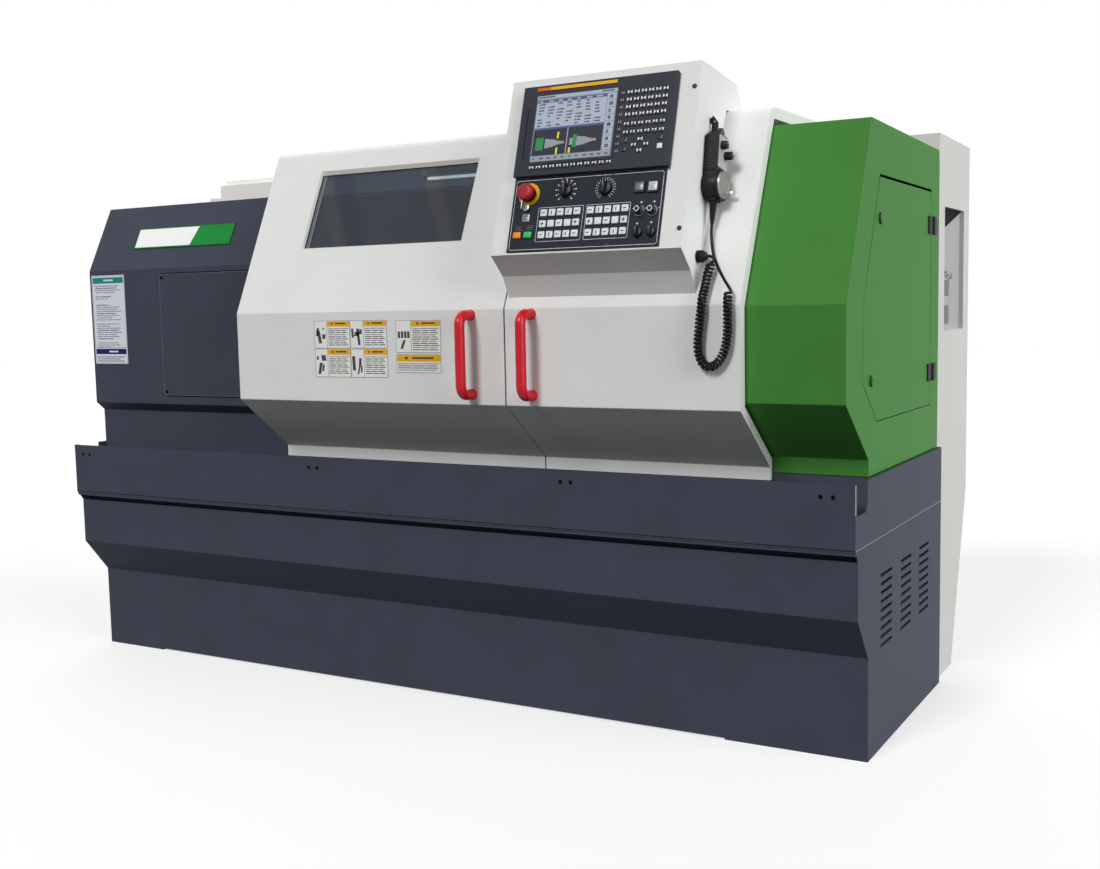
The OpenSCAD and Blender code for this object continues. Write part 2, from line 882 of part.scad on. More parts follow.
module headstock_cover() {
  x0 = x_left + head_cover_inset;
  lip = 12;
  color(slate) in_frame() {
    difference() {
      union() {
        along_x(x0, head_cover_x1) polygon(folded(head_path, head_bends, sheet));
        along_x(x0, x0 + sheet) polygon(bent(head_path, head_bends));
      }
      block([access_x[0] + lip, head_face_y - 1, access_z[0] + lip],
            [access_x[1] - lip, head_face_y + sheet + 1, access_z[1] - lip]);
    }
    bulkhead();
    spindle_wall();
  }
}

module access_panel() {
  screw_inset = [5, 12];
  color(slate) in_frame() difference() {
    block([access_x[0], head_face_y - 2, access_z[0]],
          [access_x[1], head_face_y, access_z[1]]);
    for (x = [access_x[0] + screw_inset[0], access_x[1] - screw_inset[0]])
      for (z = [access_z[0] + screw_inset[1], access_z[1] - screw_inset[1]])
        translate([x, head_face_y - 3, z])
          rotate([-90, 0, 0]) cylinder(h = 4, r = 2.2, $fn = 24);
  }
}

module tailstock_cover() {
  color(green) in_frame() difference() {
    union() {
      along_x(tail_cover_x0, tail_cover_x1) polygon(folded(tail_path, tail_bends, sheet));
      along_x(tail_cover_x1 - sheet, tail_cover_x1) polygon(bent(tail_path, tail_bends));
    }
    along_x(tail_cover_x1 - sheet - 1, tail_cover_x1 + 1) polygon(side_outline);
  }
}

module enclosure_frame() {
  x = [head_cover_x1, tail_cover_x0 + cover_lap];
  post = [x_right - 80, x_right - 40];
  color(slate) in_frame() {
    block([x[0], sill_y, floor_top], [tail_cover_x0, sill_y + sheet, door_foot_top + 6]);
    block([x[0], frame_back - sheet, floor_top], [x[1], frame_back, frame_roof]);
    block([x[0], beam_y[1], frame_roof - sheet], [x[1], frame_back, frame_roof]);
    block([x[0], beam_y[1], head_cover_top], [x[0] + sheet, frame_back, frame_roof]);
    block([post[0], beam_y[0] + 20, floor_top], [post[1], beam_y[0] + 60, beam_z[0]]);
  }
}

module rail_beam() {
  wall = 4;
  foot = 45;
  foot_high = 18;
  color(cream) in_frame() {
    difference() {
      block([beam_x[0], beam_y[0], beam_z[0]], [beam_x[1], beam_y[1], beam_z[1]]);
      block([beam_x[0] + wall, beam_y[0] + wall, beam_z[0] + wall],
            [beam_x[1] + 1, beam_y[1] - wall, beam_z[1] - wall]);
    }
    block([beam_x[0] - foot, beam_y[0], beam_z[0]],
          [beam_x[0], beam_y[1], beam_z[0] + foot_high]);
  }
}

module door_rails() {
  color(steel) in_frame() {
    block([beam_x[0] + 5, rail_y[0], beam_z[1]], [tail_cover_x0 - 7, rail_y[1], rail_top]);
    block([x_left + 150, lower_rail_y[0], lower_rail_z[0]],
          [tail_cover_x0, lower_rail_y[1], lower_rail_z[1]]);
    block([tail_cover_x0, lower_rail_y[0], lower_rail_z[0]],
          [tail_cover_x1 - 6, tail_flange_y, lower_rail_z[1]]);
  }
}

module electrical_cabinet() {
  x = cabinet_x;
  w = cabinet_wall;
  color(white) in_frame() difference() {
    along_x(x[0], x[1]) polygon(cabinet_outline);
    difference() {
      along_x(x[0] + w, x[1] - w) polygon(inset(cabinet_outline, w));
      block([x[1] - recess_deep - w, recess_y[0] - w, recess_z[0] - w],
            [x[1], recess_y[1] + w, recess_z[1] + w]);
    }
    block([x[1] - recess_deep, recess_y[0], recess_z[0]],
          [x[1] + 1, recess_y[1], recess_z[1]]);
  }
}

// ---- Side door ----

module side_door() {
  x = tail_cover_x1;
  slot = 4;
  lap = 16;
  panel = [for (p = inset(side_outline, side_seam)) [p[0], p[1] - (p[1] > 1200 ? slot : 0)]];
  color(green) in_frame() difference() {
    union() {
      along_x(x - sheet, x) polygon(panel);
      for (z = hinge_z) {
        block([x - 1, hinge_y - hinge_leaf[1], z], [x + 4, hinge_y - lap, z + hinge_high]);
        block([x + 0.3, hinge_y - lap - 1, z],
              [x + 4, hinge_y - hinge_leaf[0], z + hinge_high]);
        block([x + 0.3, hinge_y - hinge_leaf[0] - 1, z + hinge_high/2 + 0.3],
              [x + 4, hinge_y, z + hinge_high]);
        translate([x + hinge_gap + hinge_r, hinge_y, z + hinge_high/2 + 0.3])
          cylinder(h = hinge_high/2 - 0.3, r = hinge_r);
      }
    }
    for (z = hinge_z)
      translate([x + hinge_gap + hinge_r, hinge_y, z])
        cylinder(h = hinge_high + 1, r = hinge_pin_r + running);
    for (at = latch_at)
      bar_x(x - sheet - 1, x + 1, at[0], at[1], latch_r + running);
  }
}

module hinge_leaves() {
  x = tail_cover_x1;
  color(black) in_frame() for (z = hinge_z) {
    block([x, hinge_y + hinge_leaf[0], z], [x + 4, hinge_y + hinge_leaf[1], z + hinge_high]);
    block([x + 0.3, hinge_y, z], [x + 4, hinge_y + hinge_leaf[0] + 1, z + hinge_high/2]);
    translate([x + hinge_gap + hinge_r, hinge_y, z]) cylinder(h = hinge_high/2, r = hinge_r);
    translate([x + hinge_gap + hinge_r, hinge_y, z]) cylinder(h = hinge_high - 1, r = hinge_pin_r);
  }
}

// A quarter-turn latch, standing unlocked; a quarter turn takes its arm behind the frame
module latch(at, turn) {
  x = tail_cover_x1;
  slot = [18, 3, 2];
  color(black) in_frame() translate([x, at[0], at[1]]) rotate([turn, 0, 0]) difference() {
    union() {
      bar_x(0.2, 5, 0, 0, latch_r + 5);
      bar_x(-16, 1, 0, 0, latch_r);
      block([-15, -8, 0], [-10, 8, latch_arm]);
    }
    block([5 - slot[2], -slot[1]/2, -slot[0]/2], [6, slot[1]/2, slot[0]/2]);
  }
}

// ---- Doors and what they carry ----

// Depths of an end flange along the door's foot, lower slope, face, upper slope and roof
function flange_depths(foot) = [foot, door_return - 4, door_return, door_return, door_return];

module door(x0, x1, left_foot, right_foot) {
  along_x(x0, x1) polygon(folded(door_path, door_bends, sheet));
  along_x(x0, x0 + sheet)
    polygon(end_flange(door_path, door_bends, flange_depths(left_foot)));
  along_x(x1 - sheet, x1)
    polygon(end_flange(door_path, door_bends, flange_depths(right_foot)));
}

module on_window() {
  on_slope(left_door_x0 + window_inset, window_rise) children();
}

module left_door() {
  color(white) in_frame() difference() {
    door(left_door_x0, left_door_x1, 6, 6);
    on_window() translate([0, 0, -sheet - 1]) cube([window_length, window_height, sheet + 2]);
  }
}

module window_frame() {
  rim = 14;
  depth = 6;
  color(black) in_frame() on_window() translate([0, 0, -sheet - depth]) difference() {
    translate([-rim, -rim, 0]) cube([window_length + 2*rim, window_height + 2*rim, depth]);
    translate([0, 0, -1]) cube([window_length, window_height, depth + 2]);
  }
}

module window_glass() {
  lap = 10;
  color(black) in_frame() on_window() translate([-lap, -lap, -sheet - 6 - glass_thick])
    cube([window_length + 2*lap, window_height + 2*lap, glass_thick]);
}

// A bow handle on the doors' upright face
module bow_handle(x) {
  bend = 25;
  r = handle_d/2;
  middle = (door_bend_low + door_bend_high)/2 + 6;
  color(red) in_frame() translate([x, -door_reach, middle]) {
    for (side = [-1, 1]) {
      translate([0, -handle_reach + bend, side*handle_length/2])
        rotate([-90, 0, 0]) cylinder(h = handle_reach - bend, r = r);
      translate([0, -handle_reach + bend, side*(handle_length/2 - bend)])
        rotate([0, -90, 0])
          rotate([0, 0, side > 0 ? -90 : 180])
            rotate_extrude(angle = 90) translate([bend, 0]) circle(r);
    }
    translate([0, -handle_reach, -handle_length/2 + bend])
      cylinder(h = handle_length - 2*bend, r = r);
  }
}

module left_handle() bow_handle(left_door_x1 - 92);
module right_handle() bow_handle(right_door_x0 + 72);

// Runners that hang a door from the rail
module runners(places) {
  lip = 14.7;
  y = [rail_y[0] - 0.3 - lip, rail_y[1] + 0.3 + lip];
  color(steel) in_frame() for (x = places)
    along_x(x, x + runner_length)
      polygon([
        [y[0], rail_top - 10],
        [y[0], door_top - sheet],
        [y[1], door_top - sheet],
        [y[1], rail_top - 10],
        [y[1] - lip, rail_top - 10],
        [y[1] - lip, rail_top + 0.3],
        [y[0] + lip, rail_top + 0.3],
        [y[0] + lip, rail_top - 10]
      ]);
}

module left_runners() {
  runners([left_door_x0 + 255, left_door_x1 - 56 - runner_length]);
}

module right_runners() {
  runners([right_door_x0 + 40, right_door_x1 - 280 - runner_length]);
}

module right_door() {
  hole_at = [[-147, 760], [-116, 735]];
  color(white) in_frame() difference() {
    door(right_door_x0, right_door_x1, 6, 12);
    for (at = hole_at)
      bar_x(right_door_x1 - sheet - 1, right_door_x1 + 1, at[0], at[1], 3);
  }
}

// ---- Control box ----

function box_outline() =
  let (lean = [sin(door_lean), cos(door_lean)])
  let (foot = [-door_reach - door_gap/cos(door_lean), door_bend_high])
  let (roof = door_top + door_gap)
  [
    meeting(foot, lean, [0, box_foot], [1, 0]),
    [-box_reach + 50, box_low - 47],
    [-box_reach, box_low],
    [box_top_y, box_top],
    [box_top_y + 55, box_top - 5],
    [box_back_y - 42, box_top - 26],
    [box_back_y, roof],
    meeting(foot, lean, [0, roof], [1, 0])
  ];

module control_box() {
  margin = 12;
  color(white) in_frame() difference() {
    along_x(box_x0, box_x1) polygon(box_outline());
    along_x(box_x0 + box_wall, box_x1 - box_wall) polygon(inset(box_outline(), box_wall));
    on_face(panel_x + margin, panel_low + margin, -10)
      cube([panel_width - 2*margin, panel_height - 2*margin, 12]);
    on_face(display_x + margin, display_low + margin, -10)
      cube([display_width - 2*margin, display_height - 2*margin, 12]);
  }
}

module display_unit() {
  margin = 14;
  depth = 60;
  color(black) in_frame() {
    on_face(display_x, display_low) cube([display_width, display_height, bezel_thick]);
    on_face(display_x + margin, display_low + margin, -depth)
      cube([display_width - 2*margin, display_height - 2*margin, depth + 1]);
  }
}

module operator_panel() {
  knobs = concat([feed_at, speed_at, keyswitch_at], selector_at);
  cap_gap = 0.3;
  hole = cap_size + [2*cap_gap, 2*cap_gap];
  color(black) in_frame() on_face(panel_x, panel_low) difference() {
    cube([panel_width, panel_height, panel_thick]);
    for (at = knobs)
      translate([at[0], at[1], -1]) cylinder(h = panel_thick + 2, r = shaft_r + running);
    translate([estop_at[0], estop_at[1], -1])
      cylinder(h = panel_thick + 2, r = estop_stem_r + running);
    for (at = [stop_at, start_at])
      translate([at[0] - hole[0]/2, at[1] - hole[1]/2, -1])
        cube([hole[0], hole[1], panel_thick + 2]);
  }
}

// ---- Controls ----

module estop_button() {
  travel = 6;
  color(red) in_frame() on_panel(estop_at) {
    translate([0, 0, -20]) cylinder(h = 20 + 12, r = estop_stem_r);
    translate([0, 0, travel + 6]) cylinder(h = 10, r = estop_r);
    translate([0, 0, travel + 16]) cylinder(h = 5, r1 = estop_r, r2 = estop_r - 6);
  }
}

// A round knob with a grip bar across it; size is [radius, skirt, height, grip]
module knob(at, size) {
  r = size[0];
  skirt = size[1];
  high = size[2];
  grip = size[3];
  color(black) in_frame() on_panel(at) {
    translate([0, 0, -panel_thick - shaft_length]) cylinder(h = shaft_length + 5, r = shaft_r);
    translate([0, 0, 0.5]) cylinder(h = skirt, r = r);
    translate([-grip/2, -r + 1, skirt]) cube([grip, 2*r - 2, high - skirt]);
  }
}

module feed_knob() knob(feed_at, dial_knob);
module speed_knob() knob(speed_at, dial_knob);
module selector_1() knob(selector_at[0], selector_knob);
module selector_2() knob(selector_at[1], selector_knob);
module selector_3() knob(selector_at[2], selector_knob);
module selector_4() knob(selector_at[3], selector_knob);

module key_switch() {
  color(steel) in_frame() on_panel(keyswitch_at) {
    translate([0, 0, -panel_thick - shaft_length]) cylinder(h = shaft_length + 5, r = shaft_r);
    translate([0, 0, 0.5]) cylinder(h = 5, r = 8);
    translate([-1.2, -4, 4]) cube([2.4, 8, 12]);
    translate([-1.2, -10, 15]) cube([2.4, 20, 11]);
  }
}

// A rectangular push button in its hole
module push_cap(at, tint) {
  color(tint) in_frame() on_panel(at)
    translate([-cap_size[0]/2, -cap_size[1]/2, -panel_thick - 6])
      cube([cap_size[0], cap_size[1], panel_thick + 6 + 5]);
}

module start_button() push_cap(start_at, green);
module stop_button() push_cap(stop_at, "#e08a1e");

// ---- Hand pendant and its cord ----

module pendant_body() {
  bores = [dial_at, axis_at, step_at];
  color(black) in_frame() in_pendant() difference() {
    union() {
      linear_extrude(pendant_thick) {
        translate([0, pendant_round + 3]) circle(pendant_round);
        translate([-pendant_width/2, pendant_round]) square([pendant_width, pendant_high - pendant_round]);
        translate([-14, 0]) square([28, 20]);
      }
      translate([-20, 25, -hook_thick]) cube([40, 110, hook_thick + 1]);
      translate([-9, pendant_high - 2, 6]) cube([18, 46, 14]);
      translate([-9, pendant_high + 30, -hook_thick]) cube([18, 14, hook_thick + 10]);
    }
    for (at = bores)
      translate([at[0], at[1], pendant_thick - 12])
        cylinder(h = 13, r = spindle_pin_r + running);
  }
}

// Places children on the pendant's front
module on_pendant(at) {
  in_pendant() translate([at[0], at[1], pendant_thick]) children();
}

module pendant_dial() {
  pin_at = [13, -15];
  color(steel) in_frame() on_pendant(dial_at) {
    translate([0, 0, -11]) cylinder(h = 13, r = spindle_pin_r);
    translate([0, 0, 0.5]) cylinder(h = 8, r = dial_r);
    translate([pin_at[0], pin_at[1], 8]) cylinder(h = 19, r = 3.5);
  }
}

module small_knob(at, high) {
  color(black) in_frame() on_pendant(at) {
    translate([0, 0, -11]) cylinder(h = 13, r = spindle_pin_r);
    translate([0, 0, 0.5]) cylinder(h = high, r = small_knob_r);
  }
}

module axis_knob() small_knob(axis_at, 14);
module step_knob() small_knob(step_at, 17);

module cord_gland() {
  color(black) in_frame() in_pendant() translate([0, 0, pendant_thick/2]) rotate([90, 0, 0])
    cylinder(h = gland_length, r1 = 8.5, r2 = 5);
}

module cord_plug() {
  color(black) in_frame()
    bar_x(box_x1, box_x1 + plug_length, plug_at[0], plug_at[1], plug_r);
}

module cord_tube() {
  color(black) in_frame() translate([box_x1, 0, 0]) {
    tube(tube_route, cord_d/2, 8);
    tube(loop_route, cord_d/2, 8);
  }
}

module cord_coil() {
  color(black) in_frame() translate([box_x1, 0, 0]) tube(coil_route, coil_d/2, 12);
}

module jaw_1() jaw(0);
module jaw_2() jaw(120);
module jaw_3() jaw(240);
module upper_latch() latch(latch_at[0], latch_turn[0]);
module lower_latch() latch(latch_at[1], latch_turn[1]);

base_cabinet();
chip_tray();
bed();
headstock();
headstock_cover();
access_panel();
tailstock_cover();
hinge_leaves();
enclosure_frame();
rail_beam();
door_rails();
electrical_cabinet();
spindle_motor();
drive_belt();
screw_supports();
left_door();
window_frame();
window_glass();
left_handle();
left_runners();
right_door();
right_handle();
right_runners();
control_box();
display_unit();
operator_panel();
pendant_body();
cord_gland();
cord_tube();
cord_coil();
cord_plug();
estop_button();
feed_knob();
speed_knob();
selector_1();
selector_2();
selector_3();
selector_4();
key_switch();
start_button();
stop_button();
pendant_dial();
axis_knob();
step_knob();
side_door();
upper_latch();
lower_latch();
spindle();
chuck();
jaw_1();
jaw_2();
jaw_3();
carriage();
cross_slide();
turret();
tailstock();
quill();
handwheel();
z_screw();
motor_pulley();
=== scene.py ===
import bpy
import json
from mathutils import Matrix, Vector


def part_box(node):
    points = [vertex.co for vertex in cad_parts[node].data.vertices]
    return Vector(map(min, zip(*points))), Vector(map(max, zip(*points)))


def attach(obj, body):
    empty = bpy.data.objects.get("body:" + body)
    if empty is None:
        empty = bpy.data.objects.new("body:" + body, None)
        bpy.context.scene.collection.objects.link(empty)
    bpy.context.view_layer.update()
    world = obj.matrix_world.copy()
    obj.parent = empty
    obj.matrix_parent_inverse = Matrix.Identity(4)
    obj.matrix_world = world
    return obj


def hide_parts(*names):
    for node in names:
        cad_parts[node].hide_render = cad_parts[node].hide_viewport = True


bl_info = {
    "name": "Enclosed Turning Lathe",
    "version": (1, 0, 0),
    "blender": (4, 5, 0),
    "location": "3D Viewport > Sidebar > Lathe",
    "description": "Dresses the packed model of an enclosed lathe: finishes, controls, cord and fittings",
    "category": "Add Mesh",
}

import json
import math
from collections import namedtuple
from contextlib import contextmanager

import bmesh
import bpy
from bpy.props import BoolProperty, FloatProperty, IntProperty, PointerProperty
from mathutils import Matrix, Vector

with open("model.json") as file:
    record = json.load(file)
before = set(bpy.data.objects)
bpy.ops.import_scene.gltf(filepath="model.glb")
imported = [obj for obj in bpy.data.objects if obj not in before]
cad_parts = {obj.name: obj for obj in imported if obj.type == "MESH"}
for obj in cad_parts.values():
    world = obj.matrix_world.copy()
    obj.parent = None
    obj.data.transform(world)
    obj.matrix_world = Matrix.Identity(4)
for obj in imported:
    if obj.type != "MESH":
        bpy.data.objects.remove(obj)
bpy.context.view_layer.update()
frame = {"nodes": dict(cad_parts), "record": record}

RECORD = frame["record"]
BODY = {n: b for b, names in RECORD["behaviour"]["bodies"].items() for n in names}

# The machine's own frame is in mm, with Y 0 at the doors' foot line; the row frame is in metres.
MIDDLE = 357.44615606533466

BOX_LEAN = math.radians(16.6)
DOOR_LEAN = math.radians(24.3)
PENDANT_LEAN = math.radians(10)

HEAD_TOP = 1164        # foot of the headstock cover's slope
END = 1210             # half the base's length
DISPLAY_TOP = 14.0     # how far these stand out of their faces
PANEL_TOP = 3.0
PENDANT_TOP = 32.0
POST_AT = (155, 50)    # axis of the tool post, its top and the middle of its shanks
POST_TOP, SHANKS = 1085, 1024

MERGE = 2e-6           # points of a CAD mesh this near, in metres, are one
BROAD_AREA = 4e-4      # a face this large, in square metres, and this many times its neighbour is broad
BROAD_TIMES = 8
BROAD_ANGLE = 2        # its edges stay crisp beyond this turn, in degrees
EASED_ANGLE = 38       # as those of an eased CAD node do beyond this one
SHARP = 40             # a CAD edge that turns more than this is eased

# Centres of the controls on the control box's face
STOP_AT = (481, 141)
KNOBS = {
    "feed_knob": (576, 145), "speed_knob": (676, 144),
    "selector_1": (766, 87), "selector_2": (797, 86), "selector_3": (767, 38), "selector_4": (799, 38),
}
PENDANT_KNOBS = {"axis_knob": (-10, 122), "step_knob": (13, 104)}
WHEEL_AT = (0, 36)


def at(x, y, z):
    """A point of the machine's frame, in mm, as metres in the row frame."""
    return Vector((x, y - MIDDLE, z)) / 1000


def corners(node):
    """A CAD node's lowest and highest corners in the machine's frame, in mm."""
    return [(p[0] * 1000, p[1] * 1000 + MIDDLE, p[2] * 1000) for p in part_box(node)]


class Face:
    """A flat working face: u runs along it, v up it and w out of it, all in mm."""

    def __init__(self, origin=(0, 0, 0), right=(1, 0, 0), up=(0, 0, 1)):
        self.o = at(*origin)
        self.r = Vector(right).normalized()
        self.u = Vector(up).normalized()
        self.n = self.r.cross(self.u)

    def at(self, u, v, w=0.0):
        return self.o + (self.r * u + self.u * v + self.n * w) / 1000

    def place(self, u, v, w):
        """Matrix that sets a local mesh, in metres, on the face."""
        m = Matrix((self.r, self.u, self.n)).transposed().to_4x4()
        m.translation = self.at(u, v, w)
        return m

    def across(self, right, up, w=0.0):
        """Another face through the point at depth w over this one's origin."""
        face = Face(right=right, up=up)
        face.o = self.at(0, 0, w)
        return face


def leaning(y, z, lean):
    return Face((0, y, z), up=(0, math.sin(lean), math.cos(lean)))


def flank(x, way=1):
    """A face across the machine, looking to the right, or to the left where way is -1."""
    return Face((x, 0, 0), (0, way, 0))


BENCH = Face((0, MIDDLE, 0), up=(0, 1, 0))    # the plain local frame of a repeated shape
CONTROL = leaning(-276, 1148, BOX_LEAN)
SLOPE = leaning(-212, 1026, DOOR_LEAN)
DOOR, TRAY, HEAD, UPSTAND, PLINTH = (Face((0, y, 0)) for y in (-212, -140, -50, -14, 0))
BOX_SIDE, RECESS, SIDE = (flank(x) for x in (873, 1186, 1201.5))
HEAD_SLOPE = Face((0, -50, HEAD_TOP), up=(0, 96, 193))
PENDANT = Face(
    (876, -143, 1250),
    (0, math.cos(PENDANT_LEAN), -math.sin(PENDANT_LEAN)),
    (0, math.sin(PENDANT_LEAN), math.cos(PENDANT_LEAN)),
)


# ---- Shapes ----


def circle(u, v, r, n):
    turns = [2 * math.pi * k / n for k in range(n)]
    return [(u + r * math.cos(a), v + r * math.sin(a)) for a in turns]


def rounded(u0, v0, u1, v1, r=0.0, steps=4):
    """A rectangle with round corners, anticlockwise."""
    if r <= 0:
        return [(u0, v0), (u1, v0), (u1, v1), (u0, v1)]
    out = []
    a0, a1, b0, b1 = u0 + r, u1 - r, v0 + r, v1 - r
    for cx, cy, a in ((a1, b0, -90), (a1, b1, 0), (a0, b1, 90), (a0, b0, 180)):
        for k in range(steps + 1):
            t = math.radians(a + 90 * k / steps)
            out.append((cx + r * math.cos(t), cy + r * math.sin(t)))
    return out


def shrunk(outline, d):
    """The outline moved inwards by d, with mitred corners."""
    out, n = [], len(outline)
    for i in range(n):
        p, a, b = Vector(outline[i]), Vector(outline[i - 1]), Vector(outline[(i + 1) % n])
        e1, e2 = (p - a).normalized(), (b - p).normalized()
        m = Vector((-e1.y - e2.y, e1.x + e2.x))
        out.append(tuple(p + m * (d / max(0.3, m.length_squared / 2))))
    return out


class Shape:
    """Collects closed parts of one mesh, each face with its finish, on a working face at a lift in mm."""

    def __init__(self, face=BENCH, lift=0.0):
        self.v, self.f, self.m = [], [], []
        self.on(face, lift)

    def on(self, face, lift=0.0):
        """Turns to another working face."""
        self.face, self.lift = face, lift
        return self

    def level(self, outline, w):
        """The outline's points at depth w over the lift."""
        return [self.face.at(u, v, self.lift + w) for u, v in outline]

    def rings(self, rings, finish, loop=False):
        """Joins rings of points into a skin, capped at both ends unless it is a loop."""
        ids = []
        for ring in rings:
            ids.append(list(range(len(self.v), len(self.v) + len(ring))))
            self.v.extend(ring)
        faces = []
        for a, b in zip(ids, ids[1:] + ids[:loop]):
            n = max(len(a), len(b))
            for k in range(n):
                j = (k + 1) % n
                if len(a) == 1:
                    faces.append((a[0], b[k], b[j]))
                elif len(b) == 1:
                    faces.append((a[k], a[j], b[0]))
                else:
                    faces.append((a[k], a[j], b[j], b[k]))
        if not loop:
            faces += [cap for cap in (ids[0][::-1], ids[-1]) if len(cap) > 2]
        self.f.extend(faces)
        self.m.extend([finish] * len(faces))
        return self

    def slab(self, outline, w0, w1, finish, edge=0.0):
        """A flat piece from depth w0 out to w1, its outer edge eased."""
        levels = [(0, w0), (0, w1 - edge)]
        if edge > 0:
            levels += [(edge * 0.3, w1 - edge * 0.3), (edge, w1)]
        return self.stack(outline, levels, finish)

    def stack(self, outline, levels, finish):
        """The outline at each level: (how far it is shrunk, depth)."""
        return self.rings([self.level(shrunk(outline, d) if d else outline, w) for d, w in levels], finish)

    def box(self, u0, v0, u1, v1, w0, w1, finish, r=0.0, edge=0.0):
        return self.slab(rounded(u0, v0, u1, v1, r), w0, w1, finish, edge)

    def pad(self, u, v, wide, high, w0, w1, finish, r=0.0, edge=0.0):
        """A box about the point (u, v), wide and high to each side of it."""
        return self.box(u - wide, v - high, u + wide, v + high, w0, w1, finish, r, edge)

    def frame(self, u0, v0, u1, v1, line, w0, w1, finish, r=0.0):
        """A flat border with its outer edge at the given corners."""
        o = rounded(u0, v0, u1, v1, r, 5)
        i = rounded(u0 + line, v0 + line, u1 - line, v1 - line, r and max(0.01, r - line), 5)
        return self.rings([self.level(p, w) for p, w in ((o, w0), (o, w1), (i, w1), (i, w0))], finish, True)

    def turned(self, u, v, profile, finish, n=32, loop=False):
        """A turned piece about the face's normal; the profile is [(radius, depth)]."""
        rings = [self.level(circle(u, v, r, n) if r else [(u, v)], w) for r, w in profile]
        return self.rings(rings, finish, loop)

    def collar(self, u, v, profile, finish, n=32):
        """A turned ring: the profile is closed and stays off the axis."""
        return self.turned(u, v, profile, finish, n, True)

    def lipped(self, u, v, inner, outer, lip, w0, w1, w2, finish, n):
        """A collar from depth w0 to w2 whose outer edge slopes in to the lip from depth w1."""
        return self.collar(u, v, [(inner, w0), (outer, w0), (outer, w1), (lip, w2), (inner, w2)], finish, n)

    def disc(self, u, v, r, w0, w1, finish, n):
        return self.turned(u, v, [(0, w0), (r, w0), (r, w1), (0, w1)], finish, n)

    def tube(self, points, radius, finish, sides=10):
        """A round bar along points in metres; radius is in mm, or one for each point."""
        radii = radius if isinstance(radius, list) else [radius] * len(points)
        t = (points[1] - points[0]).normalized()
        side = t.orthogonal().normalized()
        rings = []
        for i, p in enumerate(points):
            new = (points[min(i + 1, len(points) - 1)] - points[max(i - 1, 0)]).normalized()
            side = (t.rotation_difference(new) @ side).normalized()
            t = new
            up = t.cross(side)
            rings.append([p + (side * x + up * y) / 1000 for x, y in circle(0, 0, radii[i], sides)])
        return self.rings(rings, finish)

    def add_mesh(self, mesh, places, w, finish_name):
        """Takes in a ready mesh at each place of the face, and removes it."""
        for u, v in places:
            base, matrix = len(self.v), self.face.place(u, v, self.lift + w)
            self.v.extend(matrix @ v.co for v in mesh.vertices)
            self.f.extend([base + i for i in p.vertices] for p in mesh.polygons)
            self.m.extend([finish_name] * len(mesh.polygons))
        bpy.data.meshes.remove(mesh)

    def spots(self, unit, places, w=0.0, finish_name=None):
        """Adds single copies of a small shape at listed places."""
        self.add_mesh(unit.mesh("unit"), places, w, finish_name or unit.m[0])

    def grid(self, unit, u, v, w, columns, rows, du, dv, finish_name=None):
        """Adds columns and rows of copies of a small shape, the first at (u, v)."""
        self.repeat("Grid of Copies", unit, (u, v), w, finish_name, {
            "Columns": columns, "Rows": rows, "Column Pitch": du / 1000, "Row Pitch": dv / 1000})

    def ring(self, unit, u, v, w, count, radius, start, step, finish_name=None):
        """Adds copies of a small shape round the point (u, v); angles are in degrees."""
        self.repeat("Ring of Copies", unit, (u, v), w, finish_name, {
            "Count": count, "Radius": radius / 1000,
            "Start": math.radians(start), "Step": math.radians(step)})

    def repeat(self, tree_name, unit, place, w, finish_name, inputs):
        """Runs a tree of copies on a small shape and takes in what it makes."""
        tree = copy_tree(tree_name)
        finish_name = finish_name or unit.m[0]
        obj = linked("unit", unit.mesh("unit"))
        mod = obj.modifiers.new("copies", "NODES")
        mod.node_group = tree
        inputs["Finish"] = finish(finish_name)
        for item in tree.interface.items_tree:
            if item.in_out == "INPUT" and item.name in inputs:
                mod[item.identifier] = inputs[item.name]
        self.add_mesh(evaluated(obj), [place], w, finish_name)
        bpy.data.objects.remove(obj)

    def mesh(self, name, angle=35):
        names = sorted(set(self.m))
        mesh = bpy.data.meshes.new(name)
        mesh.from_pydata([tuple(v) for v in self.v], [], self.f)
        for n in names:
            mesh.materials.append(finish(n))
        mesh.polygons.foreach_set("material_index", [names.index(n) for n in self.m])
        with edited(mesh) as bm:
            bmesh.ops.recalc_face_normals(bm, faces=bm.faces)
        soften(mesh, angle)
        return mesh

    def build(self, name, node, slot=None, replaces=(), angle=35):
        """Makes the object, riding with the body that carries the CAD node."""
        return dressed(name, self.mesh(name, angle), node, replaces)


def linked(name, data):
    """A new object in the scene."""
    obj = bpy.data.objects.new(name, data)
    bpy.context.scene.collection.objects.link(obj)
    return obj


def dressed(name, mesh, node, replaces=()):
    """A new piece, which rides with the CAD node's body and hides the CAD parts it replaces."""
    obj = linked(name, mesh)
    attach(obj, BODY[node])
    if replaces:
        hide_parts(*replaces)
    return obj


@contextmanager
def edited(mesh):
    """A mesh opened for a change, and written back after it."""
    bm = bmesh.new()
    bm.from_mesh(mesh)
    yield bm
    bm.to_mesh(mesh)
    bm.free()


def evaluated(obj):
    """The object's mesh with its modifiers applied."""
    bpy.context.view_layer.update()
    return bpy.data.meshes.new_from_object(obj.evaluated_get(bpy.context.evaluated_depsgraph_get()))


def soften(mesh, angle):
    """Smooth shading between faces that meet gently; a broad flat face keeps its own crisp edge."""
    with edited(mesh) as bm:
        for face in bm.faces:
            face.smooth = True
        for edge in bm.edges:
            areas = sorted(f.calc_area() for f in edge.link_faces)
            broad = len(areas) == 2 and areas[1] > max(BROAD_AREA, BROAD_TIMES * areas[0])
            edge.smooth = edge.calc_face_angle(math.pi) < math.radians(BROAD_ANGLE if broad else angle)
    mesh.update()


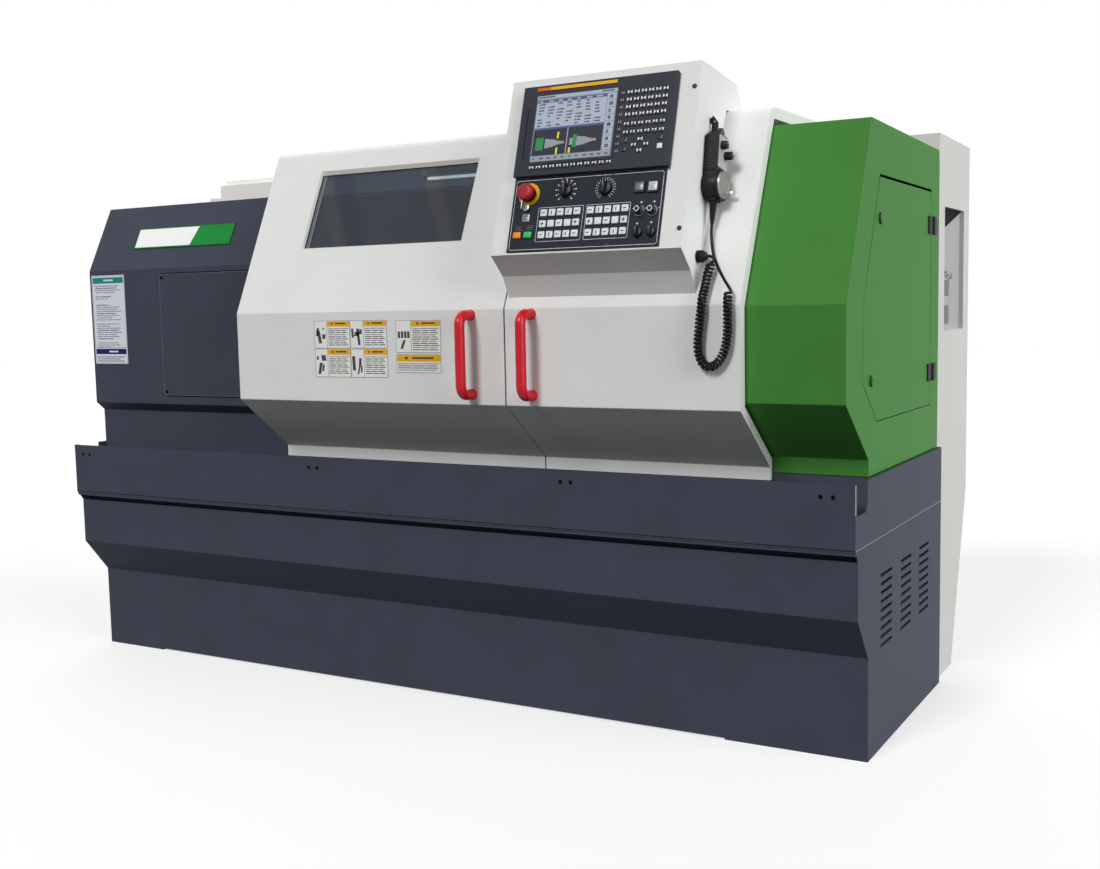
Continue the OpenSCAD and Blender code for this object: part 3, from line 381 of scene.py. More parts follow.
def smooth_path(points, step=4.0):
    """A smooth curve through points in mm, sampled about every step mm."""
    pts = [Vector(p) for p in points]
    ext = [pts[0] * 2 - pts[1]] + pts + [pts[-1] * 2 - pts[-2]]
    out = []
    for i in range(1, len(ext) - 2):
        p0, p1, p2, p3 = ext[i - 1:i + 3]
        bend, twist = 2 * p0 - 5 * p1 + 4 * p2 - p3, 3 * p1 - p0 - 3 * p2 + p3
        n = max(2, int((p2 - p1).length / step))
        for t in (k / n for k in range(n)):
            out.append(0.5 * (2 * p1 + (p2 - p0) * t + bend * t * t + twist * t ** 3))
    return out + [pts[-1]]


def peg(profile, finish, n):
    """A small turned shape about the local origin."""
    return Shape().turned(0, 0, profile, finish, n)


def tile(wide, high, *rest, **eased_edge):
    """A small box about the local origin, wide and high to each side of it."""
    return Shape().pad(0, 0, wide, high, *rest, **eased_edge)


def screw_head(r, flat, socket, foot, rim, top, floor, finish, n):
    """A screw's head: its radius, then those of its flat top and its socket, then the four depths."""
    profile = [(0, foot), (r, foot), (r, rim), (flat, top), (socket, top), (socket, floor), (0, floor)]
    return peg(profile, finish, n)


# ---- Node trees ----


def feed(tree, node, inputs):
    """Sets each named input of a node, or links it where the value is a socket."""
    for key, x in inputs.items():
        if isinstance(x, bpy.types.NodeSocket):
            tree.links.new(x, node.inputs[key])
        else:
            node.inputs[key].default_value = x
    return node


def add(tree, kind, inputs, **settings):
    """Adds a node with its settings and inputs, and returns its first output."""
    n = tree.nodes.new(kind)
    for key, x in settings.items():
        setattr(n, key, x)
    return feed(tree, n, inputs).outputs[0]


def maths(tree, operation, a, b=0):
    return add(tree, "ShaderNodeMath", {0: a, 1: b}, operation=operation)


def spread(tree, source, low, high):
    """A share from 0 to 1, spread between low and high."""
    return add(tree, "ShaderNodeMapRange", {"To Min": low, "To Max": high, "Value": source})


def noise(tree, vector, scale, detail=3.0, rough=0.5):
    return add(tree, "ShaderNodeTexNoise", {
        "Scale": scale, "Detail": detail, "Roughness": rough, "Vector": vector})


def bumped(tree, height, strength, distance, **under):
    return add(tree, "ShaderNodeBump", {
        "Strength": strength, "Distance": distance, "Height": height, **under})


def between(tree, share, dark, light):
    """A colour between two others."""
    mix = tree.nodes.new("ShaderNodeMix")
    mix.data_type = "RGBA"
    return feed(tree, mix, {0: share, 6: (*dark, 1), 7: (*light, 1)}).outputs[2]


def seen(tree):
    """1 for a ray from the camera, off a gloss or through glass, and 0 for any other."""
    path = tree.nodes.new("ShaderNodeLightPath").outputs
    other = maths(tree, "MAXIMUM", path["Is Glossy Ray"], path["Is Transmission Ray"])
    return maths(tree, "MAXIMUM", path["Is Camera Ray"], other)


def found(tree, kind):
    return next(n for n in tree.nodes if n.type == kind)


def material(name):
    """A new material with its tree, its shader and the object's coordinates."""
    mat = bpy.data.materials.new(name)
    mat.use_nodes = True
    tree = mat.node_tree
    return mat, tree, found(tree, "BSDF_PRINCIPLED"), tree.nodes.new("ShaderNodeTexCoord").outputs["Object"]


# ---- Repeats, made with Geometry Nodes ----


def in_grid(tree, given):
    """Points in columns and rows."""
    across, up = (
        add(tree, "GeometryNodeMeshLine", {
            "Count": given[count], "Offset": add(tree, "ShaderNodeCombineXYZ", {axis: given[pitch]})})
        for count, pitch, axis in (("Columns", "Column Pitch", "X"), ("Rows", "Row Pitch", "Y")))
    cross = add(tree, "GeometryNodeInstanceOnPoints", {"Points": across, "Instance": up})
    return {"Points": add(tree, "GeometryNodeRealizeInstances", {0: cross})}


def in_ring(tree, given):
    """Points round a circle, each with the turn that makes its copy face out."""
    index = tree.nodes.new("GeometryNodeInputIndex").outputs[0]
    angle = maths(tree, "ADD", given["Start"], maths(tree, "MULTIPLY", index, given["Step"]))
    x, y = (maths(tree, "MULTIPLY", maths(tree, way, angle), given["Radius"])
            for way in ("COSINE", "SINE"))
    line = add(tree, "GeometryNodeMeshLine", {"Count": given["Count"]})
    place = add(tree, "ShaderNodeCombineXYZ", {"X": x, "Y": y})
    return {"Points": add(tree, "GeometryNodeSetPosition", {"Geometry": line, "Position": place}),
            "Rotation": add(tree, "ShaderNodeCombineXYZ", {"Z": angle})}


# name: (layout, whole-number inputs, length and angle inputs), with their defaults
COPIES = {
    "Grid of Copies": (in_grid, {"Columns": 4, "Rows": 1}, {"Column Pitch": 0.02, "Row Pitch": 0.02}),
    "Ring of Copies": (in_ring, {"Count": 12}, {"Radius": 0.02, "Start": 0.0, "Step": 0.5}),
}


def copy_tree(name):
    """Sets copies of the incoming shape on the points of a layout, in one finish."""
    if name in bpy.data.node_groups:
        return bpy.data.node_groups[name]
    layout, counts, sizes = COPIES[name]
    tree = bpy.data.node_groups.new(name, "GeometryNodeTree")
    face = tree.interface
    face.new_socket("Geometry", in_out="INPUT", socket_type="NodeSocketGeometry")
    for label, value in {**counts, **sizes}.items():
        kind = "NodeSocketInt" if label in counts else "NodeSocketFloat"
        socket = face.new_socket(label, in_out="INPUT", socket_type=kind)
        socket.default_value = value
        if label in counts:
            socket.min_value = 1
    face.new_socket("Finish", in_out="INPUT", socket_type="NodeSocketMaterial")
    face.new_socket("Geometry", in_out="OUTPUT", socket_type="NodeSocketGeometry")
    given = tree.nodes.new("NodeGroupInput").outputs
    copies = add(tree, "GeometryNodeInstanceOnPoints", {
        "Instance": given["Geometry"], **layout(tree, given)})
    real = add(tree, "GeometryNodeRealizeInstances", {0: copies})
    painted = add(tree, "GeometryNodeSetMaterial", {"Geometry": real, "Material": given["Finish"]})
    feed(tree, tree.nodes.new("NodeGroupOutput"), {0: painted})
    return tree


# ---- Finishes ----


def linear(rgb):
    shares = [c / 255 for c in rgb]
    return [c / 12.92 if c <= 0.04045 else ((c + 0.055) / 1.055) ** 2.4 for c in shares]


CLOUDS = 6.0           # scale of the broad clouds of tone, per metre
CONTRAST = -0.6, 1.6   # spreads the middle of the noise over the whole mottle
SWING = 0.05           # how far the roughness goes to each side of the finish's own

# colour 0-255, roughness, grain per metre, its depth in mm, mottle, shine, metal, glow, width of the
# shaded ease on edges in mm, and the lay of brushed or turned metal
Look = namedtuple("Look", "rgb rough grain depth mottle shine metal glow ease lay",
                  defaults=(0.5, 0, 0, 0, None))

FINISHES = {
    "slate_coat": Look((70, 74, 87), 0.5, 420, 0.16, 0.16, 0.035, ease=0.9),
    # lighter copy of the green for the cover's downward-facing underside: painted light
    "green_lit_underside": Look((82, 154, 69), 0.42, 420, 0.1, 0.07, 0.03, ease=0.9),
    "white_coat": Look((227, 228, 226), 0.46, 420, 0.14, 0.05, 0.1, ease=0.9),
    "green_coat": Look((68, 129, 57), 0.42, 420, 0.1, 0.07, 0.03, ease=0.9),
    "cream_coat": Look((245, 242, 236), 0.45, 420, 0.1, 0.05, 0.15, ease=0.9),
    "cabinet_coat": Look((212, 211, 208), 0.5, 420, 0.12, 0.06, 0.1, ease=0.9),
    # darker grey for the back of the cabinet's side recess and its hood: painted shade
    "recess_grey": Look((178, 177, 176), 0.5, 420, 0.1, 0.08, 0.1),
    "reveal_cream": Look((226, 224, 217), 0.5, 420, 0.08, 0.05, 0.1),
    "grille_dark": Look((112, 112, 113), 0.5, 900, 0.03, 0.1, 0.1),
    # dark joints, black rubber and black screws, and also painted shadow in gaps, grooves, openings and under
    # the cabinet's recess hood
    "seam_dark": Look((16, 17, 20), 0.7, 900, 0.03, 0.2, 0.05),
    "gasket_grey": Look((92, 98, 105), 0.4, 900, 0.03, 0.08, 0.15),
    # painted highlight along the lip of the tray's nose
    "lip_light": Look((92, 96, 107), 0.45, 900, 0.03, 0.08, 0.15),
    # painted highlight for the light lines along edges and joints
    "worn_edge": Look((176, 178, 182), 0.45, 900, 0.05, 0.2, 0.2),
    # light cream strip on the end of the tray's front
    "bare_edge": Look((240, 226, 196), 0.45, 900, 0.05, 0.15, 0.2),
    "latch_green": Look((48, 98, 40), 0.4, 700, 0.03, 0.08, 0.15),
    "hinge_black": Look((22, 23, 26), 0.45, 1200, 0.04, 0.1, 0.15),
    "casting_paint": Look((86, 94, 104), 0.5, 220, 0.35, 0.12),
    "green_casting": Look((66, 118, 60), 0.45, 220, 0.3, 0.1),
    "ground_steel": Look((178, 181, 184), 0.3, 700, 0.02, 0.08, metal=1, lay=(1, 40, 40)),
    "turned_steel": Look((170, 172, 176), 0.26, 500, 0.03, 0.08, metal=1, lay=(60, 1, 1)),
    "bright_steel": Look((205, 207, 209), 0.22, 600, 0.015, 0.05, metal=1),
    "black_oxide": Look((46, 47, 50), 0.42, 600, 0.03, 0.1, metal=0.6),
    "zinc": Look((150, 152, 155), 0.4, 900, 0.03, 0.12, metal=1),
    "dial_metal": Look((150, 150, 147), 0.34, 900, 0.03, 0.12, metal=1),
    "carbide_gold": Look((206, 160, 74), 0.28, 900, 0.01, 0.08, metal=1),
    "red_gloss": Look((204, 8, 30), 0.22, 500, 0.02, 0.05, 0.3),
    "estop_red": Look((158, 22, 34), 0.36, 600, 0.02, 0.06, 0.25),
    "satin_black": Look((24, 25, 28), 0.42, 1500, 0.06, 0.1, 0.16),
    "knob_black": Look((17, 18, 20), 0.38, 1300, 0.03, 0.08, 0.2),
    "display_grey": Look((46, 49, 58), 0.45, 1600, 0.05, 0.06, 0.12),
    "panel_grey": Look((34, 38, 48), 0.42, 1600, 0.03, 0.06, 0.1),
    "panel_step": Look((64, 69, 80), 0.45, 1500, 0.03, 0.06, 0.12),
    "pendant_grey": Look((168, 172, 176), 0.4, 1200, 0.03, 0.05, 0.2),
    "rubber": Look((19, 19, 21), 0.6, 1400, 0.08, 0.12, 0.15),
    "cord_skin": Look((13, 13, 15), 0.42, 1400, 0.03, 0.1, 0.16),
    "key_light": Look((224, 226, 230), 0.4, 1400, 0.02, 0.04, 0.15),
    "key_dark": Look((12, 13, 17), 0.38, 1400, 0.02, 0.06, 0.25),
    "mark_white": Look((226, 228, 228), 0.5, 1500, 0, 0.05),
    "mark_dark": Look((36, 38, 44), 0.5, 1500, 0, 0.08),
    "mark_grey": Look((122, 126, 132), 0.5, 1500, 0, 0.08),
    "yellow_print": Look((236, 174, 22), 0.42, 900, 0, 0.05, 0.1),
    "yellow_ring": Look((226, 166, 20), 0.45, 900, 0.02, 0.05, 0.1),
    "orange_print": Look((214, 104, 34), 0.42, 900, 0, 0.05, 0.1),
    "orange_cap": Look((232, 132, 16), 0.3, 900, 0.01, 0.04, 0.2, glow=0.12),
    "green_cap": Look((48, 176, 98), 0.3, 900, 0.01, 0.04, 0.2, glow=0.12),
    "work_light": Look((240, 240, 226), 0.3, 900, 0, 0.03, glow=1.3),
    "tag_grey": Look((124, 122, 118), 0.4, 900, 0.05, 0.2, metal=0.4),
    "lamp_clear": Look((92, 96, 102), 0.2, 260, 0.4, 0.3, 0.35),
    "lamp_white": Look((188, 192, 194), 0.25, 260, 0.3, 0.1, 0.3),
    "teal_print": Look((28, 138, 128), 0.45, 900, 0, 0.05, 0.1),
    "navy_print": Look((24, 30, 92), 0.45, 900, 0, 0.05, 0.1),
    "sheet_paper": Look((224, 227, 236), 0.42, 900, 0, 0.03, 0.1),
    "card_paper": Look((236, 236, 232), 0.42, 900, 0, 0.03, 0.1),
    "plate_white": Look((248, 248, 247), 0.35, 900, 0, 0.02, 0.12),
    "plate_green": Look((14, 136, 52), 0.35, 900, 0, 0.05, 0.12),
    "plate_edge": Look((12, 78, 34), 0.4, 900, 0, 0.05, 0.12),
    "screen_back": Look((142, 152, 172), 0.25, 2200, 0, 0.04, 0.2, glow=0.12),
    "screen_pale": Look((166, 174, 188), 0.25, 2200, 0, 0.04, 0.2, glow=0.14),
    "screen_blue": Look((74, 92, 142), 0.25, 2200, 0, 0.05, 0.2, glow=0.12),
    "screen_dark": Look((46, 48, 60), 0.25, 2200, 0, 0.08, 0.2),
    "screen_ink": Look((74, 82, 108), 0.25, 2200, 0, 0.08, 0.2),
    "screen_green": Look((48, 132, 78), 0.25, 2200, 0, 0.05, 0.2, glow=0.12),
    "screen_yellow": Look((214, 206, 40), 0.25, 2200, 0, 0.05, 0.2, glow=0.15),
    "screen_grey": Look((146, 152, 156), 0.25, 2200, 0, 0.05, 0.2, glow=0.1),
    # painted shade: black in holes, slots, grooves and gaps
    "hole_black": Look((8, 8, 9), 0.8, 900, 0.05, 0.2, 0.05),
}


def finish(name):
    """The procedural material of that name, made once."""
    if name in bpy.data.materials:
        return bpy.data.materials[name]
    if name == "window_glass":
        return window_glass()
    look = FINISHES[name]
    mat, tree, shader, coords = material(name)
    colour = linear(look.rgb)
    mat.diffuse_color = (*colour, 1)
    clouds = noise(tree, coords, CLOUDS, 5.0, 0.6)
    if look.lay:
        stretched = add(tree, "ShaderNodeMapping", {"Scale": look.lay, "Vector": coords})
        specks = noise(tree, stretched, look.grain / 12, 2.0)
    else:
        specks = noise(tree, coords, look.grain, 2.0)
    # colour: broad clouds and fine specks around the finish's own colour
    both = maths(tree, "ADD", maths(tree, "MULTIPLY", clouds, 0.5), maths(tree, "MULTIPLY", specks, 0.5))
    dark = [c * (1 - look.mottle) for c in colour]
    light = [min(1, c * (1 + look.mottle)) for c in colour]
    tint = between(tree, spread(tree, both, *CONTRAST), dark, light)
    feed(tree, shader, {
        "Base Color": tint, "Roughness": spread(tree, clouds, look.rough - SWING, look.rough + SWING),
        "Metallic": look.metal, "Specular IOR Level": look.shine})
    if look.glow:
        feed(tree, shader, {"Emission Color": tint, "Emission Strength": look.glow})
    normal = {}
    if look.ease:
        normal = {"Normal": add(tree, "ShaderNodeBevel", {"Radius": look.ease / 1000}, samples=3)}
    if look.depth:
        normal = {"Normal": bumped(tree, specks, 0.5, look.depth / 1000, **normal)}
    feed(tree, shader, normal)
    return mat


# Painted light and shade of the window, from its left edge to its right, as tones of the glass: (place,
# colour)
PANE_PAINTED_LIGHT = (
    (0.04, (0.30, 0.38, 0.49)), (0.107, (0.30, 0.38, 0.49)), (0.119, (0.42, 0.46, 0.51)),
    (0.155, (0.39, 0.44, 0.50)), (0.170, (0.20, 0.27, 0.43)), (0.220, (0.21, 0.28, 0.44)),
    (0.240, (0.28, 0.37, 0.48)), (0.330, (0.30, 0.38, 0.48)), (0.400, (0.31, 0.37, 0.49)),
    (0.450, (0.29, 0.36, 0.47)), (0.462, (0.44, 0.47, 0.51)), (0.500, (0.40, 0.44, 0.49)),
    (0.514, (0.30, 0.37, 0.43)), (0.620, (0.30, 0.37, 0.44)),
)
PAINTED_LIGHT_START, PAINTED_LIGHT_SLANT = -0.3946, 0.58


def window_glass():
    """Tinted safety glass, slightly wavy, with slanted bands of painted light and shade in its colour."""
    mat, tree, shader, coords = material("window_glass")
    mat.diffuse_color = (0.03, 0.035, 0.04, 0.6)
    wave = noise(tree, coords, 9.0)
    parts = feed(tree, tree.nodes.new("ShaderNodeSeparateXYZ"), {0: coords}).outputs
    across = maths(tree, "ADD", parts["X"], maths(tree, "MULTIPLY", parts["Z"], PAINTED_LIGHT_SLANT))
    across = maths(tree, "ADD", across, maths(tree, "MULTIPLY", wave, 0.016))
    # slanted bands of painted light and shade, set into the glass's colour
    painted_light = feed(tree, tree.nodes.new("ShaderNodeValToRGB"), {0: maths(tree, "ADD", across, PAINTED_LIGHT_START)})
    stops = painted_light.color_ramp.elements
    stops.remove(stops[-1])
    for k, (where, colour) in enumerate(PANE_PAINTED_LIGHT):
        stop = stops.new(where) if k else stops[0]
        stop.position, stop.color = where, (*colour, 1)
    feed(tree, shader, {
        "Base Color": painted_light.outputs[0], "Roughness": spread(tree, wave, 0.03, 0.09),
        "Transmission Weight": 0.95, "IOR": 1.33, "Normal": bumped(tree, wave, 0.15, 0.002)})
    return mat


# finish: the CAD nodes that carry it
CARRIED = {
    "slate_coat": "base_cabinet chip_tray headstock_cover access_panel enclosure_frame",
    "green_coat": "tailstock_cover side_door",
    "white_coat": "left_door right_door control_box",
    "cabinet_coat": "electrical_cabinet",
    "cream_coat": "rail_beam door_rails",
    "zinc": "left_runners right_runners motor_pulley key_switch",
    "casting_paint": "bed spindle_motor screw_supports carriage",
    "green_casting": "headstock tailstock",
    "ground_steel": "cross_slide jaw_1 jaw_2 jaw_3",
    "turned_steel": "turret spindle chuck quill z_screw",
    "bright_steel": "handwheel",
    "rubber": "drive_belt cord_gland",
    "hinge_black": "hinge_leaves",
    "latch_green": "upper_latch lower_latch",
    "seam_dark": "window_frame",
    "window_glass": "window_glass",
    "red_gloss": "left_handle right_handle",
    "display_grey": "display_unit",
    "panel_grey": "operator_panel",
    "satin_black": "pendant_body cord_plug",
    "cord_skin": "cord_tube cord_coil",
    "estop_red": "estop_button",
    "knob_black": "feed_knob speed_knob selector_1 selector_2 selector_3 selector_4 axis_knob step_knob",
    "green_cap": "start_button",
    "orange_cap": "stop_button",
    "dial_metal": "pendant_dial",
}
NODE_FINISH = {node: name for name, nodes in CARRIED.items() for node in nodes.split()}

# (width of the ease in mm, segments): the CAD nodes whose edges are eased in the mesh itself
EASES = {
    (0, 0): "side_door door_rails bed tailstock_cover",
    (0.4, 2): "key_switch",
    (0.5, 2): "operator_panel upper_latch lower_latch",
    (0.6, 2): "pendant_dial hinge_leaves",
    (0.8, 2): "quill",
    (0.9, 2): "selector_1 selector_2 selector_3 selector_4",
    (1.0, 2): "feed_knob speed_knob axis_knob step_knob spindle motor_pulley",
    (1.2, 2): "jaw_1 jaw_2 jaw_3",
    (1.2, 3): "start_button stop_button",
    (1.5, 2): "turret cross_slide",
    (1.8, 3): "display_unit",
    (2.0, 2): "carriage spindle_motor",
    (2.0, 3): "chuck handwheel",
    (4.0, 3): "headstock tailstock",
}
EASED = {node: ease for ease, nodes in EASES.items() for node in nodes.split()}

# Nodes that carry a second finish, and where: the halves of the hinges, the rail down in the tray,
# the tops of the bed's ways and the slanting underside of the right-hand cover, in a lighter green that is
# painted light
SECOND = {
    "side_door": ("hinge_black", lambda c: c.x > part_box("tailstock_cover")[1][0] + 0.0002),
    "door_rails": ("slate_coat", lambda c: c.z < 1.0),
    "bed": ("ground_steel", lambda c: c.z > 0.8495),
    "tailstock_cover": (
        "green_lit_underside", lambda c: 0.66 < c.z < 0.78 and 0.97 < c.x < 1.19 and c.y < -0.42),
}


def eased(node, finish_name, width, segments):
    """A merged copy of a CAD node with its sharp edges eased, which stands for the node."""
    mesh = frame["nodes"][node].data.copy()
    with edited(mesh) as bm:
        bmesh.ops.remove_doubles(bm, verts=bm.verts, dist=MERGE)
        bmesh.ops.dissolve_limit(bm, angle_limit=math.radians(0.5), verts=bm.verts, edges=bm.edges)
    obj = dressed(node + "_finished", mesh, node, replaces=(node,))
    if width > 0:
        mod = obj.modifiers.new("ease", "BEVEL")
        mod.width, mod.segments = width / 1000, segments
        mod.limit_method, mod.angle_limit = "ANGLE", math.radians(SHARP)
        mod.use_clamp_overlap = True
        mesh = evaluated(obj)
        obj.modifiers.remove(mod)
        obj.data = mesh
    mesh.materials.clear()
    mesh.materials.append(finish(finish_name))
    if node in SECOND:
        other, test = SECOND[node]
        mesh.materials.append(finish(other))
        for p in mesh.polygons:
            p.material_index = int(test(p.center))
    soften(mesh, EASED_ANGLE)


# ---- Settings ----


def measure(name, description, default, low=0.0):
    return FloatProperty(name=name, description=description, default=default, min=low, unit="LENGTH")


def strength(name, description, default):
    return FloatProperty(name=name, description="Strength of the " + description, default=default, min=0.0)


class LatheSettings(bpy.types.PropertyGroup):
    floor_size: measure("Floor Size", "Width of the pale floor", 40.0, 4.0)
    lens: FloatProperty(
        name="Lens", description="Focal length of the camera", default=41.986, unit="CAMERA")
    room_light: strength("Room Light", "even light of the room", 0.23)
    front_light: strength("Front Light", "soft light in front", 1.85)
    side_light: strength("Side Light", "soft light at the right", 2.5)
    back_light: strength("Back Light", "soft light behind", 1.0)


class CordSettings(bpy.types.PropertyGroup):
    cord_diameter: measure("Cord Diameter", "Diameter of the pendant's cord", 0.0066)
    coil_diameter: measure("Coil Diameter", "Outside diameter of the curly part", 0.021)
    coil_pitch: measure("Coil Pitch", "Spacing of the turns along the coil", 0.0086)
    turn_points: IntProperty(
        name="Points per Turn", description="Points of the cord's line in each turn", default=14, min=12)


class ControlSettings(bpy.types.PropertyGroup):
    key_size: measure("Key Size", "Width of a key on the operator's panel", 0.0162)
    key_pitch: measure("Key Pitch", "Spacing of the keys on the operator's panel", 0.0213)
    small_key: measure("Small Key", "Width of a key beside the screen", 0.0118)
    lamp_size: measure("Lamp Size", "Width of the square lamps", 0.027)


class FittingSettings(bpy.types.PropertyGroup):
    panel_screw: measure("Panel Screw", "Diameter of the small panel screws", 0.0058)
    show_cards: BoolProperty(
        name="Cards", description="Fit the plain instruction cards on the left door", default=True)


# ---- Operators ----


class LATHE_OT_stage(bpy.types.Operator):
    """Sets up the floor, the room light, the lamps and the camera"""
    bl_idname = "lathe.stage"
    bl_label = "Stage and Camera"

    def execute(self, context):
        s, scene = context.scene.lathe, context.scene
        cam = bpy.data.cameras.new("camera")
        cam.lens, cam.sensor_width, cam.sensor_fit = s.lens, 36, "HORIZONTAL"
        cam.clip_start, cam.clip_end = 0.05, 200
        eye = scene.camera = linked("camera", cam)
        yaw, pitch, roll = math.radians(29.894), math.radians(-5.758), math.radians(-1.176)
        ahead = Vector((-math.sin(yaw) * math.cos(pitch), math.cos(yaw) * math.cos(pitch), math.sin(pitch)))
        right = ahead.cross(Vector((0, 0, 1))).normalized()
        up = right.cross(ahead)
        level, rise = math.cos(roll), math.sin(roll)
        m = Matrix((right * level + up * rise, up * level - right * rise, -ahead)).transposed().to_4x4()
        m.translation = at(1992.68, -2796.60, 1032.37)
        eye.matrix_world = m

        world = scene.world = bpy.data.worlds.new("room")
        world.use_nodes = True
        t = world.node_tree
        plain = add(t, "ShaderNodeBackground", {"Color": (0.96, 0.98, 1.0, 1), "Strength": s.room_light})
        white = add(t, "ShaderNodeBackground", {"Color": (1, 1, 1, 1), "Strength": 1.0})
        room = add(t, "ShaderNodeMixShader", {0: seen(t), 1: plain, 2: white})
        feed(t, found(t, "OUTPUT_WORLD"), {"Surface": room})

        # soft far lamps: the way from the machine to each, and its width in degrees
        for name, towards, width, energy in (
            ("front_lamp", (-0.12, -0.77, 0.62), 17, s.front_light),
            ("side_lamp", (0.92, -0.08, 0.34), 50, s.side_light),
            ("back_lamp", (-0.55, 0.70, 0.45), 60, s.back_light),
        ):
            data = bpy.data.lights.new(name, "SUN")
            data.angle, data.energy = math.radians(width), energy
            way = Vector(towards).normalized()
            turn = way.to_track_quat("Z", "Y").to_matrix().to_4x4()
            linked(name, data).matrix_world = Matrix.Translation(way * 8) @ turn

        mat, t, shader, coords = material("pale_floor")
        feed(t, shader, {"Base Color": between(t, noise(t, coords, 0.8), [0.42] * 3, [0.45] * 3),
                         "Roughness": 0.9, "Specular IOR Level": 0.1})
        glow = add(t, "ShaderNodeEmission", {"Strength": 0.58})
        bright = add(t, "ShaderNodeAddShader", {0: shader.outputs[0], 1: glow})
        dull = add(t, "ShaderNodeBsdfDiffuse", {"Color": (0.05, 0.05, 0.05, 1)})
        floor = add(t, "ShaderNodeMixShader", {0: seen(t), 1: dull, 2: bright})
        feed(t, found(t, "OUTPUT_MATERIAL"), {"Surface": floor})
        half = s.floor_size / 2
        mesh = bpy.data.meshes.new("floor")
        mesh.from_pydata([(u, v, 0) for u, v in rounded(-half, -half, half, half)], [], [(0, 1, 2, 3)])
        mesh.materials.append(mat)
        linked("floor", mesh)
        scene.view_settings.view_transform = "Standard"
        return {"FINISHED"}


class LATHE_OT_cord(bpy.types.Operator):
    """Makes the hand pendant's curly cord with its gland and plug"""
    bl_idname = "lathe.cord"
    bl_label = "Curly Cord"

    tube_route = [
        (892, -151, 1203), (892, -154, 1189), (893, -157, 1175), (896, -162, 1160), (900, -168, 1145),
        (905, -173, 1131), (912, -179, 1118), (920, -185, 1105), (929, -191, 1092), (939, -198, 1079),
        (950, -206, 1067), (959, -213, 1057), (964, -218, 1050),
    ]
    loop_route = [
        (897, -188, 1131), (903, -188, 1131), (908, -189, 1129), (912, -191, 1125), (913, -193, 1120),
        (912, -194, 1116),
    ]
    coil_route = [
        (907, -194, 1116), (905, -198, 1104), (902, -203, 1090), (900, -212, 1064), (898, -223, 1040),
        (897, -227, 1018), (894, -228, 996), (891, -227, 972), (889, -227, 950), (889, -227, 930),
        (893, -227, 912), (901, -227, 899), (914, -227, 893), (928, -227, 897), (939, -227, 908),
        (948, -227, 924), (954, -227, 944), (957, -227, 966), (958, -228, 990), (958, -228, 1014),
        (957, -225, 1034), (957, -219, 1050),
    ]

    def execute(self, context):
        s = context.scene.lathe_cord
        lead, loop = smooth_path(self.tube_route, 5.0), smooth_path(self.loop_route[::-1], 3.0)
        coil = self.helix(s)
        line = lead[:-1] + coil[1:-1] + loop[1:]
        # the joints between the three parts are eased
        smooth = list(line)
        for i in range(1, len(line) - 2):
            if len(lead) - 3 < i < len(lead) + 2 or i > len(line) - len(loop) - 3:
                smooth[i] = (line[i - 1] + line[i] * 2 + line[i + 1]) / 4
        points = [at(*p) for p in smooth]
        cord = Shape().tube(points, s.cord_diameter * 500, "cord_skin", 9).build(
            "curly_cord", "cord_coil", replaces=("cord_coil", "cord_tube"), angle=60)
        self.gland()
        self.plug()
        return {"FINISHED"}

    def helix(self, s):
        """The coil's points in mm; its frame is carried along the route without twist."""
        core = smooth_path(self.coil_route[::-1], 1.0)
        lengths = [0.0]
        for a, b in zip(core, core[1:]):
            lengths.append(lengths[-1] + (b - a).length)
        total = lengths[-1]
        count = round(total / (s.coil_pitch * 1000)) * s.turn_points
        radius = (s.coil_diameter - s.cord_diameter) * 500
        tangent = (core[1] - core[0]).normalized()
        side = Vector(self.tube_route[-1]) - core[0]
        side = (side - tangent * side.dot(tangent)).normalized()
        out, j = [], 0
        for k in range(count + 1):
            d = total * k / count
            while j < len(lengths) - 2 and lengths[j + 1] < d:
                j += 1
            p = core[j].lerp(core[j + 1], (d - lengths[j]) / (lengths[j + 1] - lengths[j]))
            new = (core[j + 1] - core[j]).normalized()
            side = (tangent.rotation_difference(new) @ side).normalized()
            tangent = new
            a = 2 * math.pi * k / s.turn_points
            out.append(p + (side * math.cos(a) + tangent.cross(side) * math.sin(a)) * radius)
        return out

    def gland(self):
        """The ribbed, tapered strain relief under the pendant."""
        profile, ribs = [(0, -1), (8.5, -1), (8.5, 3)], 8
        for k in range(ribs):
            w, r = 5 + k * 4.8, 8.1 - 3.0 * k / ribs
            profile += [(r, w), (r, w + 2.6), (r - 1.5, w + 3.1), (r - 1.5, w + 4.4)]
        profile += [(4.4, 45), (4.4, 47.4), (3.9, 48), (0, 48)]
        shape = Shape(PENDANT.across(PENDANT.r, PENDANT.n, 16)).turned(0, 0, profile, "rubber", 24)
        return shape.build("cord_relief", "cord_gland", replaces=("cord_gland",))

    def plug(self):
        """The round connector in the control box's side, with its coupling ring."""
        shape, (u, v) = Shape(BOX_SIDE), (-188, 1131)
        thread = [(12.4 + 0.5 * (k % 2), 5 + k * 1.1) for k in range(9)]
        shape.turned(u, v, [(0, 0), (13.5, 0), (13.5, 2.4), (12.6, 3), (10.8, 3), (10.8, 5)] + thread +
                     [(11.4, 15.2), (10.4, 17), (9.6, 19.4), (8.2, 21.4), (5.5, 23.2), (3.6, 24), (0, 24)],
                     "satin_black", 30)
        tooth = tile(0.5, 0.6, 5.4, 13.4, "satin_black", edge=0.25)
        shape.ring(tooth, u, v, 0, 24, 13.0, 0, 15)
        return shape.build("cord_connector", "cord_plug", replaces=("cord_plug",))


class LATHE_OT_finishes(bpy.types.Operator):
    """Paints the machine's own parts and eases the edges of the small ones"""
    bl_idname = "lathe.finishes"
    bl_label = "Finishes"

    def execute(self, context):
        for node, obj in frame["nodes"].items():
            if obj.hide_render:
                continue
            if node in EASED:
                eased(node, NODE_FINISH[node], *EASED[node])
                continue
            obj.data.materials.clear()
            obj.data.materials.append(finish(NODE_FINISH[node]))
        return {"FINISHED"}


